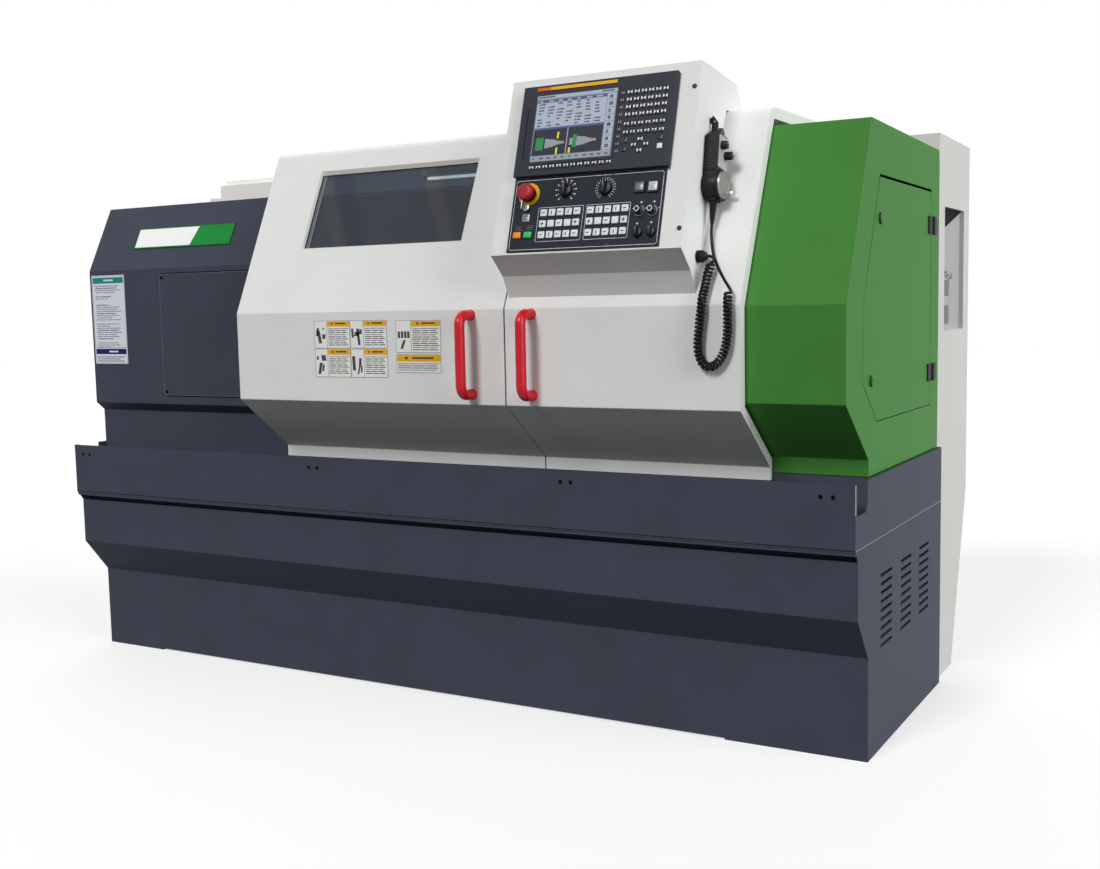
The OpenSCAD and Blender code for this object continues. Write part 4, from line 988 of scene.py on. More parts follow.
class LATHE_OT_display(bpy.types.Operator):
    """Fits the control's screen, its keys and the coloured strip over it"""
    bl_idname = "lathe.display"
    bl_label = "Display Unit"

    # keys and the marks on them: first column and row, columns, rows, pitches
    soft_keys = (484, 201), (12, 1, 18.0, 10)
    side_keys = (698, 224), (1, 9, 10, 17.1)
    upper_keys = (716, 308), (6, 4, 17.4, 17.6)
    lower_keys = (716, 266), (6, 2, 17.4, 19.6)
    rocker_keys = [(754, 248), (754, 222), (739, 235), (769, 235)]
    edge_keys = [(716, 248), (716, 228), (802, 248)]

    def execute(self, context):
        half = context.scene.lathe_control.small_key * 500
        shape = Shape(CONTROL, DISPLAY_TOP)
        # screen surround, glass and what it shows
        shape.frame(470, 208, 691, 381, 6, -0.5, 1.6, "display_grey", 5)
        shape.frame(475.4, 213.4, 685.6, 376.6, 1.6, -0.2, 1.0, "mark_dark", 2)
        self.screen(shape)
        # strip above the screen
        shape.box(474, 387, 680, 394.6, -0.2, 0.35, "yellow_print")
        shape.box(474, 387, 509, 394.6, -0.2, 0.45, "orange_print")
        shape.box(474, 385.4, 680, 386.4, -0.2, 0.3, "seam_dark")
        # card slot at the left, and the step round the whole face
        shape.frame(450.5, 220, 463.5, 348, 1.0, -0.2, 1.1, "panel_step", 3)
        # painted shade in the card slot
        shape.box(455.8, 224, 457.6, 344, -0.2, 0.3, "hole_black")
        shape.frame(440.4, 185, 823.6, 397, 0.7, -0.2, 0.2, "panel_step", 3)
        # soft keys under the screen, the column beside it, and the lettering keys
        soft, side, cap, wide = (
            tile(u, v, 0, w, "key_dark", r, edge)
            for u, v, w, r, edge in ((6.6, 5.2, 1.8, 1.4, 0.6), (4.2, 5.6, 1.6, 1.2, 0.5),
                                     (half, half, 2.2, 1.2, 0.7), (6.6, 5, 2.0, 1.2, 0.6)))
        for unit, (first, rest) in ((soft, self.soft_keys), (side, self.side_keys),
                                    (cap, self.upper_keys), (cap, self.lower_keys)):
            shape.grid(unit, *first, 0, *rest)
        shape.spots(wide, self.rocker_keys)
        shape.spots(cap, self.edge_keys)
        shape.spots(cap, [(802, 228)], 0, "key_light")
        self.marks(shape)
        head = screw_head(2.6, 2.0, 1.1, -0.5, 0.9, 1.4, 0.6, "black_oxide", 16)
        shape.spots(head, [(u, v) for u in (443.5, 820.5) for v in (192, 391)])
        shape.build("display_face", "display_unit")
        return {"FINISHED"}

    def screen(self, shape):
        u0, u1, v0, v1 = 477, 684, 215, 375
        width, high = u1 - u0, v1 - v0

        def block(a, b, c, d, finish_name, lift=0.1):
            shape.box(u0 + a, v0 + b, u0 + c, v0 + d, -0.2, 0.2 + lift, finish_name)

        def shaft(start):
            """A stepped shaft as grey blocks, thinner to the right."""
            steps = ((10, 11), (20, 9.4), (32, 7), (40, 4.6), (48, 3.0), (60, 0))
            for (x, h), (end, _) in zip(steps, steps[1:]):
                block(start + x, m - h, start + end, m + h, "screen_grey", 0.2)

        block(0, 0, width, high, "screen_back", 0.0)
        block(0, high - 8, width, high, "screen_pale")
        block(3, high - 6, 46, high - 3, "screen_ink", 0.16)
        block(width - 40, high - 6, width - 8, high - 3, "screen_ink", 0.16)
        block(2, high - 78, width - 26, high - 11, "screen_pale")
        block(2, high - 18.5, width - 26, high - 11, "screen_blue")
        # rows of values as short dashes
        dash = [9, 14, 11, 17, 8, 13, 16, 10]
        for row in range(9):
            y = high - 16.4 - row * 7.4
            for col in range(7):
                x, d = 7.0 + col * 24.5, dash[(row * 3 + col * 5) % 8]
                if (row * 7 + col * 3) % 5 or row == 0:
                    block(x, y, x + d, y + 3.2, "screen_ink" if row else "screen_pale", 0.16)
                    if d > 12 and row:
                        block(x + 4, y - 0.1, x + 5.2, y + 3.3, "screen_pale", 0.18)
        block(2, high - 84, width - 26, high - 79.5, "screen_blue")
        # two drawing fields about the line m: a held shaft and its chuck
        m = 42
        for a, c in ((2, 89), (92, width - 26)):
            block(a, 14, c, high - 84, "screen_dark")
        block(10, m - 15, 30, m + 15, "screen_green", 0.16)
        shaft(24)
        for y0, y1 in ((m + 10, m + 26), (m - 27, m - 12)):
            block(64, y0, 69, y1, "screen_yellow", 0.24)
        block(106, m - 14, 116, m + 16, "screen_green", 0.24)
        block(98, m - 8, 106, m + 8, "screen_grey", 0.2)
        shaft(106)
        block(97, m - 27, 102, m - 14, "screen_yellow", 0.24)
        # icon column and the row over the soft keys
        for k in range(8):
            y = 18 + k * 16.6
            block(width - 23, y, width - 3, y + 13.4, "screen_pale")
            block(width - 18, y + 3.0, width - 9 - (k % 3) * 2, y + 10.4, "screen_dark", 0.16)
            block(width - 16, y + 5.4, width - 12 - (k % 2) * 2, y + 7.8, "screen_grey", 0.18)
        for k in range(11):
            x = 3 + k * 18.6
            block(x, 2.5, x + 16.2, 12, "screen_grey")
            block(x + 3, 5.2, x + 8 + (k * 5) % 6, 8.6, "screen_ink", 0.16)

    def marks(self, shape):
        """Small white devices on the dark keys, in place of lettering."""
        even, tilted, narrow = (
            Shape().slab([(-wide, -high), (-0.5, lean), (-wide, high)], 0, 0.2, "mark_white")
            .slab([(wide, -high), (wide, high), (0.5, lean)], 0, 0.2, "mark_white")
            for wide, high, lean in ((5.6, 4.4, 0.2), (5.4, 3.6, 2.2), (3.8, 4.2, -1.0)))
        for unit, (first, rest), w, tint in (
            (even, self.upper_keys, 2.16, "mark_white"), (tilted, self.lower_keys, 2.16, "mark_white"),
            (tilted, self.soft_keys, 1.76, "mark_white"), (narrow, self.side_keys, 1.56, "mark_grey"),
        ):
            shape.grid(unit, *first, w, *rest, tint)
        shape.spots(even, self.rocker_keys[:2] + self.edge_keys[:1], 1.96)
        shape.spots(tilted, self.rocker_keys[2:] + [(716, 228), (802, 248)], 1.96)


class LATHE_OT_panel(bpy.types.Operator):
    """Fits the operator's panel: keys, lamps, rings, scales and screws"""
    bl_idname = "lathe.panel"
    bl_label = "Operator Panel"

    def execute(self, context):
        s = context.scene.lathe_control
        shape = Shape(CONTROL, PANEL_TOP)
        shape.frame(444, 9.5, 816, 175.5, 0.9, -0.1, 0.18, "mark_white", 6)
        # stop button's yellow ring
        shape.lipped(*STOP_AT, 18.5, 27, 26.3, -0.1, 1.1, 1.6, "yellow_ring", 48)
        shape.lipped(*STOP_AT, 11.4, 18.6, 17.8, -0.1, 1.9, 2.6, "knob_black", 48)
        # scales round the two dials: a ring of ticks and a ring of dots
        tick = tile(1.7, 0.5, 0, 0.16, "mark_white")
        for node, count, start, step, dot, n, radius in (
            ("feed_knob", 11, -50, 28, 1.7, 12, 25.5), ("speed_knob", 20, -56, 15.4, 0.95, 10, 24.6),
        ):
            spot = Shape().disc(0, 0, dot, 0, 0.16, "mark_white", n)
            shape.ring(tick, *KNOBS[node], 0, count, 20.5, start, step)
            shape.ring(spot, *KNOBS[node], 0, count, radius, start, step)
        # square lamps in black frames
        half = s.lamp_size * 500
        for u, v, tint in ((761, 141, "lamp_clear"), (794, 140, "lamp_white")):
            shape.pad(u, v, half, half, -0.1, 4.2, "knob_black", 2, 1)
            shape.pad(u, v, half - 3.4, half - 3.4, 0, 5.6, tint, 1.5, 0.8)
            for k in range(3):
                y = v - 5 + k * 4.2
                shape.box(u - half + 7, y, u + half - 7 - 3 * (k % 2), y + 1.2, 5.5, 5.72, "mark_grey")
        # blank label frames by the push buttons and two small windows
        for u, v in ((464, 61), (493, 62)):
            shape.frame(u - 7.5, v - 5, u + 7.5, v + 5, 0.5, -0.1, 0.16, "mark_grey", 1.5)
            shape.pad(u, v, 3.5, 0.6, -0.1, 0.14, "mark_grey")
        for u, v in ((463, 44), (491, 44)):
            shape.frame(u - 11.6, v - 9.2, u + 11.6, v + 9.2, 1.7, -0.2, 1.4, "satin_black", 2)
        # short captions over the rotary switches as plain bars
        for u, v in ((769, 106), (800, 106), (764, 58), (798, 59)):
            shape.pad(u, v, 3.2, 0.6, -0.1, 0.16, "mark_white")
            shape.pad(u, v, 0.7, 2.4, -0.1, 0.17, "mark_white")
        # silver bezels and side ticks of the upper two rotary switches
        for u, v in (KNOBS["selector_1"], KNOBS["selector_2"]):
            shape.lipped(u, v, 10.6, 11.9, 11.4, -0.2, 1.0, 1.4, "zinc", 36)
            for side in (-15.6, 15.6):
                shape.pad(u + side, v + 5.5, 1.2, 0.9, -0.1, 0.16, "mark_white")
        # small plate under the key switch
        shape.box(470, 77, 489, 95, -0.1, 0.8, "tag_grey", 1, 0.3)
        for k in range(4):
            shape.box(473, 80.4 + k * 3.6, 486 - 3 * (k % 2), 81.8 + k * 3.6, 0.6, 0.95, "mark_dark")
        # the two key blocks, with plain marks and a dot on each key
        half, pitch = s.key_size * 500, s.key_pitch * 1000
        row0, rise = 42.5, 26
        cap = tile(half, half, 0, 3.6, "key_light", 1.6, 1.0)
        wide = tile(4.2, 1.1, 0, 0.2, "mark_dark")
        tall = tile(1.3, 4.2, 0, 0.2, "mark_dark")
        dot = Shape().disc(0, 0, 1.2, 0, 0.2, "mark_grey", 10)
        for u0, u1 in ((511, 627), (634, 743)):
            shape.frame(u0, 27, u1, 108, 0.8, -0.1, 0.18, "mark_white", 3)
            first = u0 + (u1 - u0 - 4 * pitch) / 2
            shape.grid(cap, first, row0, 0, 5, 3, pitch, rise)
            shape.grid(wide, first, row0, 3.56, 3, 3, pitch * 2, rise)
            shape.grid(tall, first + pitch, row0, 3.56, 2, 2, pitch * 2, rise * 2)
            shape.grid(tall, first, row0 + rise, 3.58, 2, 1, pitch * 4, rise)
            shape.grid(dot, first + 5, row0 + 5.1, 3.6, 5, 3, pitch, rise)
        # panel screws, and plain plugs in the box's face beside the screen
        r = context.scene.lathe_fittings.panel_screw * 500
        head = screw_head(r, r * 0.75, r * 0.4, -0.3, 0.7, 1.3, 0.4, "black_oxide", 18)
        shape.spots(head, [(567, 174), (691, 174), (574, 13.5), (698, 13.5)])
        shape.spots(head, [(u, v) for u in (442.2, 818) for v in (168, 13)])
        blank = peg([(0, -0.5), (5.4, -0.5), (5.4, 1.2), (4.4, 2.2), (0, 2.6)], "knob_black", 24)
        shape.on(CONTROL).spots(blank, [(863, 365), (864, 44)])
        shape.build("panel_face", "operator_panel")
        self.switches()
        return {"FINISHED"}

    def switches(self):
        """Pointers and ribs of the dials and rotary switches, and the stop button's mushroom head."""
        for node, (u, v) in KNOBS.items():
            r, high, ribs = (10.5, 15, 18) if "selector" in node else (15, 17, 24)
            shape = Shape(CONTROL, PANEL_TOP + high)
            if node in ("selector_1", "selector_2"):
                shape.collar(u, v, [(4.6, -0.4), (6.4, -0.4), (6.2, 0.5), (4.8, 0.5)], "zinc", 28)
            shape.box(u - 0.6, v + 2.5, u + 0.6, v + r - 2.2, -0.4, 0.25, "mark_grey", 0.5, 0.1)
            rib = Shape().box(-0.5, -0.7, 0.45, 0.7, 0.8, 4.6, "knob_black", edge=0.2)
            shape.on(CONTROL, PANEL_TOP).ring(rib, u, v, 0, ribs, r, 0, 360 / ribs)
            shape.build(node + "_pointer", node)
        head = Shape(CONTROL, PANEL_TOP).turned(*STOP_AT, [
            (0, -20), (11, -20), (11, 11), (18.4, 12), (19.9, 13.4), (20, 20), (19.5, 22.6), (18.2, 24.8),
            (15.8, 26.2), (12.5, 26.8), (6, 27), (0, 27)], "estop_red", 48)
        ridge = Shape().box(-1.0, -1.6, 0.15, 1.6, 13.6, 19.4, "estop_red", edge=0.4)
        head.ring(ridge, *STOP_AT, 0, 16, 20, 0, 22.5)
        head.build("estop_head", "estop_button", replaces=("estop_button",), angle=40)


class LATHE_OT_handles(bpy.types.Operator):
    """Makes the doors' red bow handles with their end caps"""
    bl_idname = "lathe.handles"
    bl_label = "Door Handles"

    def execute(self, context):
        # a bow along the CAD bar's own centreline
        mid, half, bend, reach, r = 917.5, 95, 25, 50, 12.5
        low = [(y, -half) for y in (0.2, 3, 8, 14, 20)]
        low += [(reach - bend + bend * math.sin(a), -half + bend - bend * math.cos(a))
                for a in (math.radians(7.5 * k) for k in range(13))]
        straight = [(reach, z) for z in range(-half + bend + 8, half - bend, 16)]
        line = low + straight + [(y, -z) for y, z in low[::-1]]
        cap = [(0, 0), (13.6, 0), (13.6, 1.6), (13.0, 2.4), (12.4, 2.6), (0, 2.6)]
        for node, x in (("left_handle", 294), ("right_handle", 462)):
            shape = Shape(DOOR).tube([DOOR.at(x, mid + z, y) for y, z in line], r, "red_gloss", 28)
            for z in (-half, half):
                shape.turned(x, mid + z, cap, "red_gloss")
            shape.build(node + "_bow", node, replaces=(node,), angle=50)
        return {"FINISHED"}


# Dark blocks on the plain cards, as shares of the field: left, low, right, top, lean to the right
PICTURES = (
    ((0.0, 0.5, 0.25, 0.95, 0.1), (0.3, 0.1, 0.6, 0.8, -0.2), (0.62, 0.35, 0.95, 0.6, 0.05),
     (0.7, 0.85, 0.85, 0.95, 0)),
    ((0.0, 0.4, 0.2, 0.9, -0.05), (0.2, 0.5, 0.7, 0.72, 0.1), (0.6, 0.0, 0.85, 0.9, -0.15),
     (0.75, 0.6, 1.0, 0.85, 0)),
    ((0.55, 0.7, 1.0, 1.0, -0.1), (0.1, 0.0, 0.4, 0.6, 0.2), (0.5, 0.15, 0.7, 0.5, 0.1),
     (0.0, 0.75, 0.2, 0.95, 0)),
    ((0.0, 0.2, 0.3, 0.95, -0.05), (0.45, 0.0, 0.6, 0.5, 0.2), (0.6, 0.45, 0.85, 0.85, 0.05),
     (0.8, 0.1, 0.95, 0.45, 0)),
    ((0.0, 0.62, 0.2, 1.0, 0), (0.27, 0.62, 0.47, 1.0, 0), (0.54, 0.62, 0.74, 1.0, 0),
     (0.8, 0.62, 1.0, 1.0, 0), (0.2, 0.0, 0.42, 0.5, 0.25)),
)


class LATHE_OT_doors(bpy.types.Operator):
    """Adds the window's turned-in edge and gasket, the door seal and the plain cards"""
    bl_idname = "lathe.doors"
    bl_label = "Doors and Cards"

    def execute(self, context):
        # turned-in edge round the window, deep at the top, with the glass's gasket at its foot
        rim, sink = 14, 8.6
        x0, x1 = corners("window_frame")[0][0] + rim, corners("window_frame")[1][0] - rim
        s0, s1 = 184, 416
        left = Shape(SLOPE)
        left.rings([left.level(rounded(x0 + d, s0 + d, x1 - d, s1 - t), w)
                    for d, t, w in ((-0.2, -0.2, 0.35), (1.0, 1.4, 0.35), (3.0, 11, -sink),
                                    (2.2, 8, -sink - 0.2), (-0.2, -0.2, -1.2))], "reveal_cream", True)
        left.on(SLOPE, -sink)
        left.frame(x0 + 2.6, s0 + 2.6, x1 - 2.6, s1 - 10.4, 2.2, -0.3, 0.9, "seam_dark", 1)
        left.box(x0 + 6.4, s0 + 4.6, x0 + 15.5, s1 - 12.4, -0.4, 0.3, "gasket_grey")
        left.box(x0 + 15.5, s0 + 4.6, x0 + 17.5, s1 - 12.4, -0.4, 0.6, "mark_grey")
        if context.scene.lathe_fittings.show_cards:
            self.cards(left.on(DOOR))
        left.build("left_door_trim", "left_door", "black_rubber")
        # work light on the front of the rail beam
        lamp = Shape(Face((0, corners("rail_beam")[0][1], 0)))
        lamp.box(-52, 1374, 116, 1400, -0.2, 14, "pendant_grey", 3, 1.5)
        lamp.box(-47, 1376, 111, 1383.5, 13.4, 16, "work_light", 3, 0.8)
        for u in (-60, 124):
            lamp.box(u - 9, 1378, u + 9, 1389, -0.2, 3, "zinc", 2, 0.6)
        lamp.build("work_light_bar", "rail_beam", "aluminium")
        # wiper strip in the seam between the doors
        seam = Shape(DOOR).box(386.3, 800, 388.6, 1022, -14, -5, "rubber")
        seam.build("door_seal", "left_door", "black_rubber")
        return {"FINISHED"}

    def cards(self, shape):
        """Generic cards: a field of dark blocks, a coloured heading and lines as plain bars."""
        def card(u0, v0, u1, v1, field=0.0):
            shape.box(u0, v0, u1, v1, 0.0, 0.5, "mark_dark", 1.5)
            shape.box(u0 + 0.9, v0 + 0.9, u1 - 0.9, v1 - 0.9, 0.3, 0.62, "card_paper", 1)
            if field:
                shape.box(u0 + field, v0 + 1, u0 + field + 0.9, v1 - 1, 0.5, 0.72, "mark_dark")
            h, start = 13.5 if field else 16, u0 + 1.6 + field
            shape.box(start, v1 - 1.6 - h, u1 - 1.6, v1 - 1.6, 0.5, 0.74, "yellow_print")
            # two dark words on the heading, as shares of its width and height
            middle, word = (start + u1 - 1.6) / 2, (u1 - start) * 0.24
            for a, b, c, d in ((-0.6, 0.7, 1.4, 0.4), (-1.3, 0.75, -1, 0.35)):
                shape.box(middle + word * a, v1 - b * h, middle + word * c, v1 - d * h,
                          0.6, 0.82, "mark_dark", 1)
            pitch = 5.2
            for k in range(max(3, int((v1 - v0 - h - 8) / pitch))):
                y = v1 - h - 8 - k * pitch
                if y < v0 + 3:
                    break
                tint = "mark_dark" if k % 3 else "mark_grey"
                shape.box(start + 3, y, u1 - 5 - (k * 7) % 11, y + 2.2, 0.5, 0.7, tint)
                for g in (0.31, 0.62):
                    x = start + 3 + (u1 - 8 - start) * (g + 0.02 * ((k * 5) % 7 - 3))
                    shape.box(x, y - 0.1, x + 2.2, y + 2.3, 0.6, 0.75, "card_paper")

        def field(u0, v0, u1, v1, kind):
            """Plain field of dark slanted blocks."""
            wide, high = u1 - u0, v1 - v0
            for left, low, right, top, lean in PICTURES[kind]:
                corner = ((left, low), (right, low), (right + lean, top), (left + lean, top))
                shape.slab([(u0 + a * wide, v0 + b * high) for a, b in corner], 0.5, 0.74, "mark_dark")

        for row, (v0, v1) in enumerate(((933.5, 1004), (859.5, 932))):
            for col in range(2):
                u0 = -189 + col * 117
                card(u0, v0, u0 + 115.5, v1, 41)
                field(u0 + 5, v0 + 8, u0 + 37, v1 - 16, row * 2 + col)
        card(71, 922.5, 206, 1002, 46)
        field(77, 932, 113, 975, 4)
        card(71, 872.5, 205, 918)


class LATHE_OT_headstock(bpy.types.Operator):
    """Fits the blank name plate, the instruction sheet and the access panel's screws"""
    bl_idname = "lathe.headstock"
    bl_label = "Headstock Cover"

    def execute(self, context):
        shape = Shape(HEAD_SLOPE)
        along = 215.55 / 193    # length of the slope for each mm that it rises
        v0, v1 = (1224.5 - HEAD_TOP) * along, (1287.5 - HEAD_TOP) * along
        shape.box(-1041.5, v0, -651.5, v1, 0, 2.4, "plate_edge", 1, 0.5)
        shape.box(-1039, v0 + 2.5, -654, v1 - 2.5, 1.6, 2.7, "plate_green", 0.5)
        left = [(-1036.5, v0 + 5), (-811.5, v0 + 5), (-792.5, v1 - 5), (-1036.5, v1 - 5)]
        shape.slab(left, 2.2, 2.95, "plate_white")
        # shadow gap round the access panel, painted shadow bars along its top and bottom, and a painted
        # highlight on the panel's edge
        shape.on(HEAD)
        shape.frame(-910.2, 786.8, -497.8, 1148.2, 2.2, 0.0, 0.5, "seam_dark", 14)
        shape.frame(-908.4, 788.6, -499.6, 1146.4, 0.4, 1.6, 2.12, "worn_edge", 12)
        for v in (785.2, 1146.6):
            shape.box(-900, v, -497.8, v + 3.2, 0.2, 0.7, "hole_black")
        self.sheet(shape)
        head = screw_head(5.0, 3.9, 2.2, -1, 0.9, 1.8, 0.5, "seam_dark", 18)
        shape.spots(head, [(-898, 1136), (-898, 799), (-510, 1136), (-510, 799)], 2)
        shape.build("headstock_trim", "headstock_cover", "slate_paint")
        return {"FINISHED"}

    def sheet(self, shape):
        """The instruction sheet: coloured bands and lines of print as plain bars."""
        u0, u1, b, t = -1199, -1058, 881, 1150
        high = t - b
        shape.box(u0, b, u1, t, 0, 0.6, "sheet_paper", 1.5, 0.2)
        shape.frame(u0 + 2, b + 2, u1 - 2, t - 2, 0.8, 0.4, 0.75, "mark_grey", 1)
        shape.box(u0 + 5, t - 0.09 * high, u1 - 5, t - 0.025 * high, 0.4, 0.8, "teal_print")
        shape.box(u0 + 5, b + 0.11 * high, u1 - 5, b + 0.17 * high, 0.4, 0.8, "navy_print")
        line = [104, 96, 110, 88, 101, 70, 108, 92, 99, 60]
        pitch, blank = 6.4, (4, 7, 8, 17, 26)
        for k in range(30):
            y = t - 0.125 * high - k * pitch
            if k in blank:
                continue
            long, gap = line[k % 10] * (0.5 if k == 6 else 1), u0 + 30 + (k * 17) % 40
            tint = "mark_dark" if k % 4 == 1 else "mark_grey"
            shape.box(u0 + 12 + 4 * (k % 2), y, u0 + 12 + long, y + 2.3, 0.4, 0.78, tint)
            shape.box(gap, y - 0.1, gap + 3, y + 2.4, 0.5, 0.8, "sheet_paper")
        shape.box(u0 + 6, b + 0.185 * high, u1 - 6, b + 0.19 * high, 0.4, 0.78, "mark_grey")
        for k in range(3):
            y = b + 0.028 * high + k * 6.2
            shape.box(u0 + 10, y, u0 + 22 + line[k * 3], y + 2.0, 0.4, 0.78, "navy_print")
        shape.box(u0 + 52, t - 0.066 * high, u1 - 48, t - 0.048 * high, 0.5, 0.84, "sheet_paper")
        shape.box(u0 + 62, b + 0.13 * high, u1 - 40, b + 0.148 * high, 0.5, 0.84, "sheet_paper")


class LATHE_OT_base(bpy.types.Operator):
    """Fits the tray's bolt holes, its nose and joints, and the plinth's screws"""
    bl_idname = "lathe.base"
    bl_label = "Base and Tray"

    def execute(self, context):
        shape = Shape(TRAY)
        pairs, apart, bolt_height = (36, 922, 1701, 2343), 28, 610
        for u in (x + apart * k - END for x in pairs for k in (0, 1)):
            # painted shade inside each bolt hole, and a dark rim round it
            shape.disc(u, bolt_height, 3.45, -3.2, -1.0, "hole_black", 18)
            shape.lipped(u, bolt_height, 3.3, 5.2, 4.6, -0.4, 0.0, 0.4, "seam_dark", 24)
        # the tray's turned-under nose with a dark seam and a painted highlight on its lip, and painted shade
        # in the gap below it, 0.2 mm short of each end
        back = -60
        shape.on(flank(0.2 - END))
        for outline, inset, tint in (
            ([(-139.6, 494.4), (-137.5, 493), (-116.5, 479.2), (-114, 478.6), (back, 478.6), (back, 494.4)],
             0, "slate_coat"),
            ([(-140.15, 494.8), (-139.7, 494.8), (-139.7, 496.8), (-140.15, 496.8)], 0.2, "seam_dark"),
            ([(-139.9, 494.4), (-139.9, 493.0), (-136.2, 490.6), (-136.2, 494.4)], 0.2, "lip_light"),
            ([(-74, 466), (back, 466), (back, 479), (-74, 479)], 0.4, "hole_black"),
        ):
            shape.slab(outline, inset, 2 * END - 0.4 - inset, tint)
        belt, thick = corners("base_cabinet")[0][1], 2
        cheek = [(-139.4, 494.3), (belt + 0.3, 468.3), (back, 468.3), (back, 494.3)]
        for x in (0.1 - END, END - 0.1 - thick):
            shape.on(flank(x)).slab(cheek, 0, thick, "slate_coat")
        # plate that closes the notch at the tray's right-hand end
        shape.on(HEAD).box(1080, 500, 1207.4, 637.6, 0, 2, "slate_coat", 2)
        # inner upstand of the tray in front of the right-hand cover
        shape.on(UPSTAND)
        shape.box(981.5, 497, 1201.4, 640, 0.2, 1.3, "slate_coat")
        shape.box(981.5, 639.6, 1201.4, 641, 0.2, 1.5, "seam_dark")
        # joint between tray and base on each end, a dark line with a painted highlight over it, and a light
        # cream strip on the end of the tray's front
        for way in (1, -1):
            shape.on(flank(way * (END + 0.03), way))
            for y0, y1, v0, v1, tint in (
                (-137, 638, 494.2, 495.4, "worn_edge"), (-137, 638, 493.0, 494.2, "seam_dark"),
                (-139.9, -137.2, 574, 637.9, "bare_edge"), (-31.6, -30.6, 424, 492, "seam_dark"),
            ):
                u0, u1 = sorted((y0 * way, y1 * way))
                shape.box(u0, v0, u1, v1, -0.6, 0.0, tint)
        # painted shadow line where the right-hand cover's side meets the base's ledge
        shape.on(SIDE).box(-13.6, 638, 600, 640.8, -0.2, 0.4, "seam_dark")
        head = screw_head(4, 2.8, 1.6, -1, 1.4, 2.2, 1.0, "zinc", 16)
        shape.on(PLINTH).spots(head, [(u, v) for u in (-1203, 1203) for v in (48, 228)])
        shape.build("tray_fittings", "chip_tray", "slate_paint")
        return {"FINISHED"}


class LATHE_OT_pendant(bpy.types.Operator):
    """Fits the hand pendant's face, its ribbed shell, hand wheel and knobs"""
    bl_idname = "lathe.pendant"
    bl_label = "Hand Pendant"

    def execute(self, context):
        shape = Shape(PENDANT, PENDANT_TOP)
        shape.box(-24, 72, 24, 144, -0.4, 0.5, "pendant_grey", 4)
        shape.lipped(*WHEEL_AT, 31.4, 34.6, 33.8, -0.3, 3.2, 4.2, "knob_black", 60)
        tick = tile(1.6, 0.3, 0, 0.18, "mark_dark")
        shape.ring(tick, *PENDANT_KNOBS["axis_knob"], 0.5, 5, 12.6, 30, 30)
        shape.ring(tick, *PENDANT_KNOBS["step_knob"], 0.5, 3, 12.6, 55, 35)
        screw = peg([(0, -0.4), (2.1, -0.4), (2.1, 0.5), (1.5, 0.9), (0, 0.9)], "bright_steel", 14)
        shape.spots(screw, [(-22, 140), (22, 140), (-22, 76), (22, 76)])
        shape.build("pendant_face", "pendant_body", "black_plastic")
        self.shell()
        dial = Shape(PENDANT, PENDANT_TOP)
        dial.collar(*WHEEL_AT, [(31.2, 1), (31.2, 5.6), (29.4, 9.4), (27.8, 9.4), (22, 8.9), (21.4, 8.5),
                                (21.4, 1)], "dial_metal", 60)
        mark = tile(1.9, 0.22, 0, 0.16, "mark_dark")
        dial.ring(mark, *WHEEL_AT, 8.88, 50, 26.8, 0, 7.2)
        grip_at = (13, 21)
        dial.turned(*grip_at, [(0, 8), (4.6, 8), (4.6, 10), (2.6, 11), (2.6, 12.4), (4.2, 13.4), (5.0, 17),
                               (4.6, 23), (3.4, 26), (0, 26.8)], "bright_steel", 24)
        dial.build("dial_detail", "pendant_dial", "aluminium")
        rib = Shape().box(-0.5, -0.7, 0.4, 0.7, 1.4, 11, "knob_black", edge=0.2)
        for (node, (u, v)), high in zip(PENDANT_KNOBS.items(), (14, 18)):
            knob = Shape(PENDANT, PENDANT_TOP)
            knob.ring(rib, u, v, 0, 18, 9, 0, 20)
            knob.box(u - 0.7, v + 2, u + 0.7, v + 8, high, high + 0.8, "mark_white")
            knob.build(node + "_grip", node)
        return {"FINISHED"}

    def shell(self):
        """The pendant's ribbed body with its neck, hanging blade, small hook and wall plate."""
        shape = Shape(PENDANT)

        def arc(u, v, r, start, sweep, steps):
            turns = [math.radians(start + sweep * k / steps) for k in range(steps + 1)]
            return [(u + r * math.cos(a), v + r * math.sin(a)) for a in turns]

        outline = arc(*WHEEL_AT, 33, 144.9, 250.2, 44)
        outline += arc(20, 141, 7, 0, 90, 6) + arc(-20, 141, 7, 90, 90, 6)
        levels = ((2.2, 0), (0.8, 0.7), (0, 2.4), (0, 29.4), (0.7, 31.2), (2.4, PENDANT_TOP))
        shape.stack(outline, levels, "satin_black")
        # painted shade in the groove under the ribs
        shape.box(-27.3, 64, 27.3, 65.6, 2, 30, "hole_black")
        for k in range(11):
            v = 70 + k * 6.4
            shape.box(-27.9, v, 27.9, v + 2.8, 4, 28, "satin_black", edge=0.5)
        shape.box(-20, 25, 20, 135, -3, 0.4, "black_oxide", 3)
        shape.box(-14, 0, 14, 12, 5, 27, "satin_black", 3)
        # neck, blade and hook at the top
        shape.box(-15, 146, 15, 155, 4, 24, "satin_black", 4, 2)
        shape.on(PENDANT.across(PENDANT.n, PENDANT.u))
        blade = [(2.5, 152), (16.5, 152), (16.5, 177), (12.5, 182.5), (5, 192.5), (2.5, 191)]
        shape.slab(blade, -3.5, 3.5, "satin_black", 0.7)
        shape.disc(9.6, 179, 2.4, 3, 3.7, "mark_grey", 16)
        shape.on(PENDANT)
        shape.box(-3.5, 176, 3.5, 188, -3, 4, "satin_black", 1)
        shape.slab([(-16, 140), (9, 140), (9, 155), (-1, 163), (-16, 159)], 25, 29.5, "satin_black", 0.7)
        shape.disc(-5, 153, 3.2, 29, 29.8, "mark_grey", 16)
        shape.build("pendant_shell", "pendant_body", replaces=("pendant_body",))


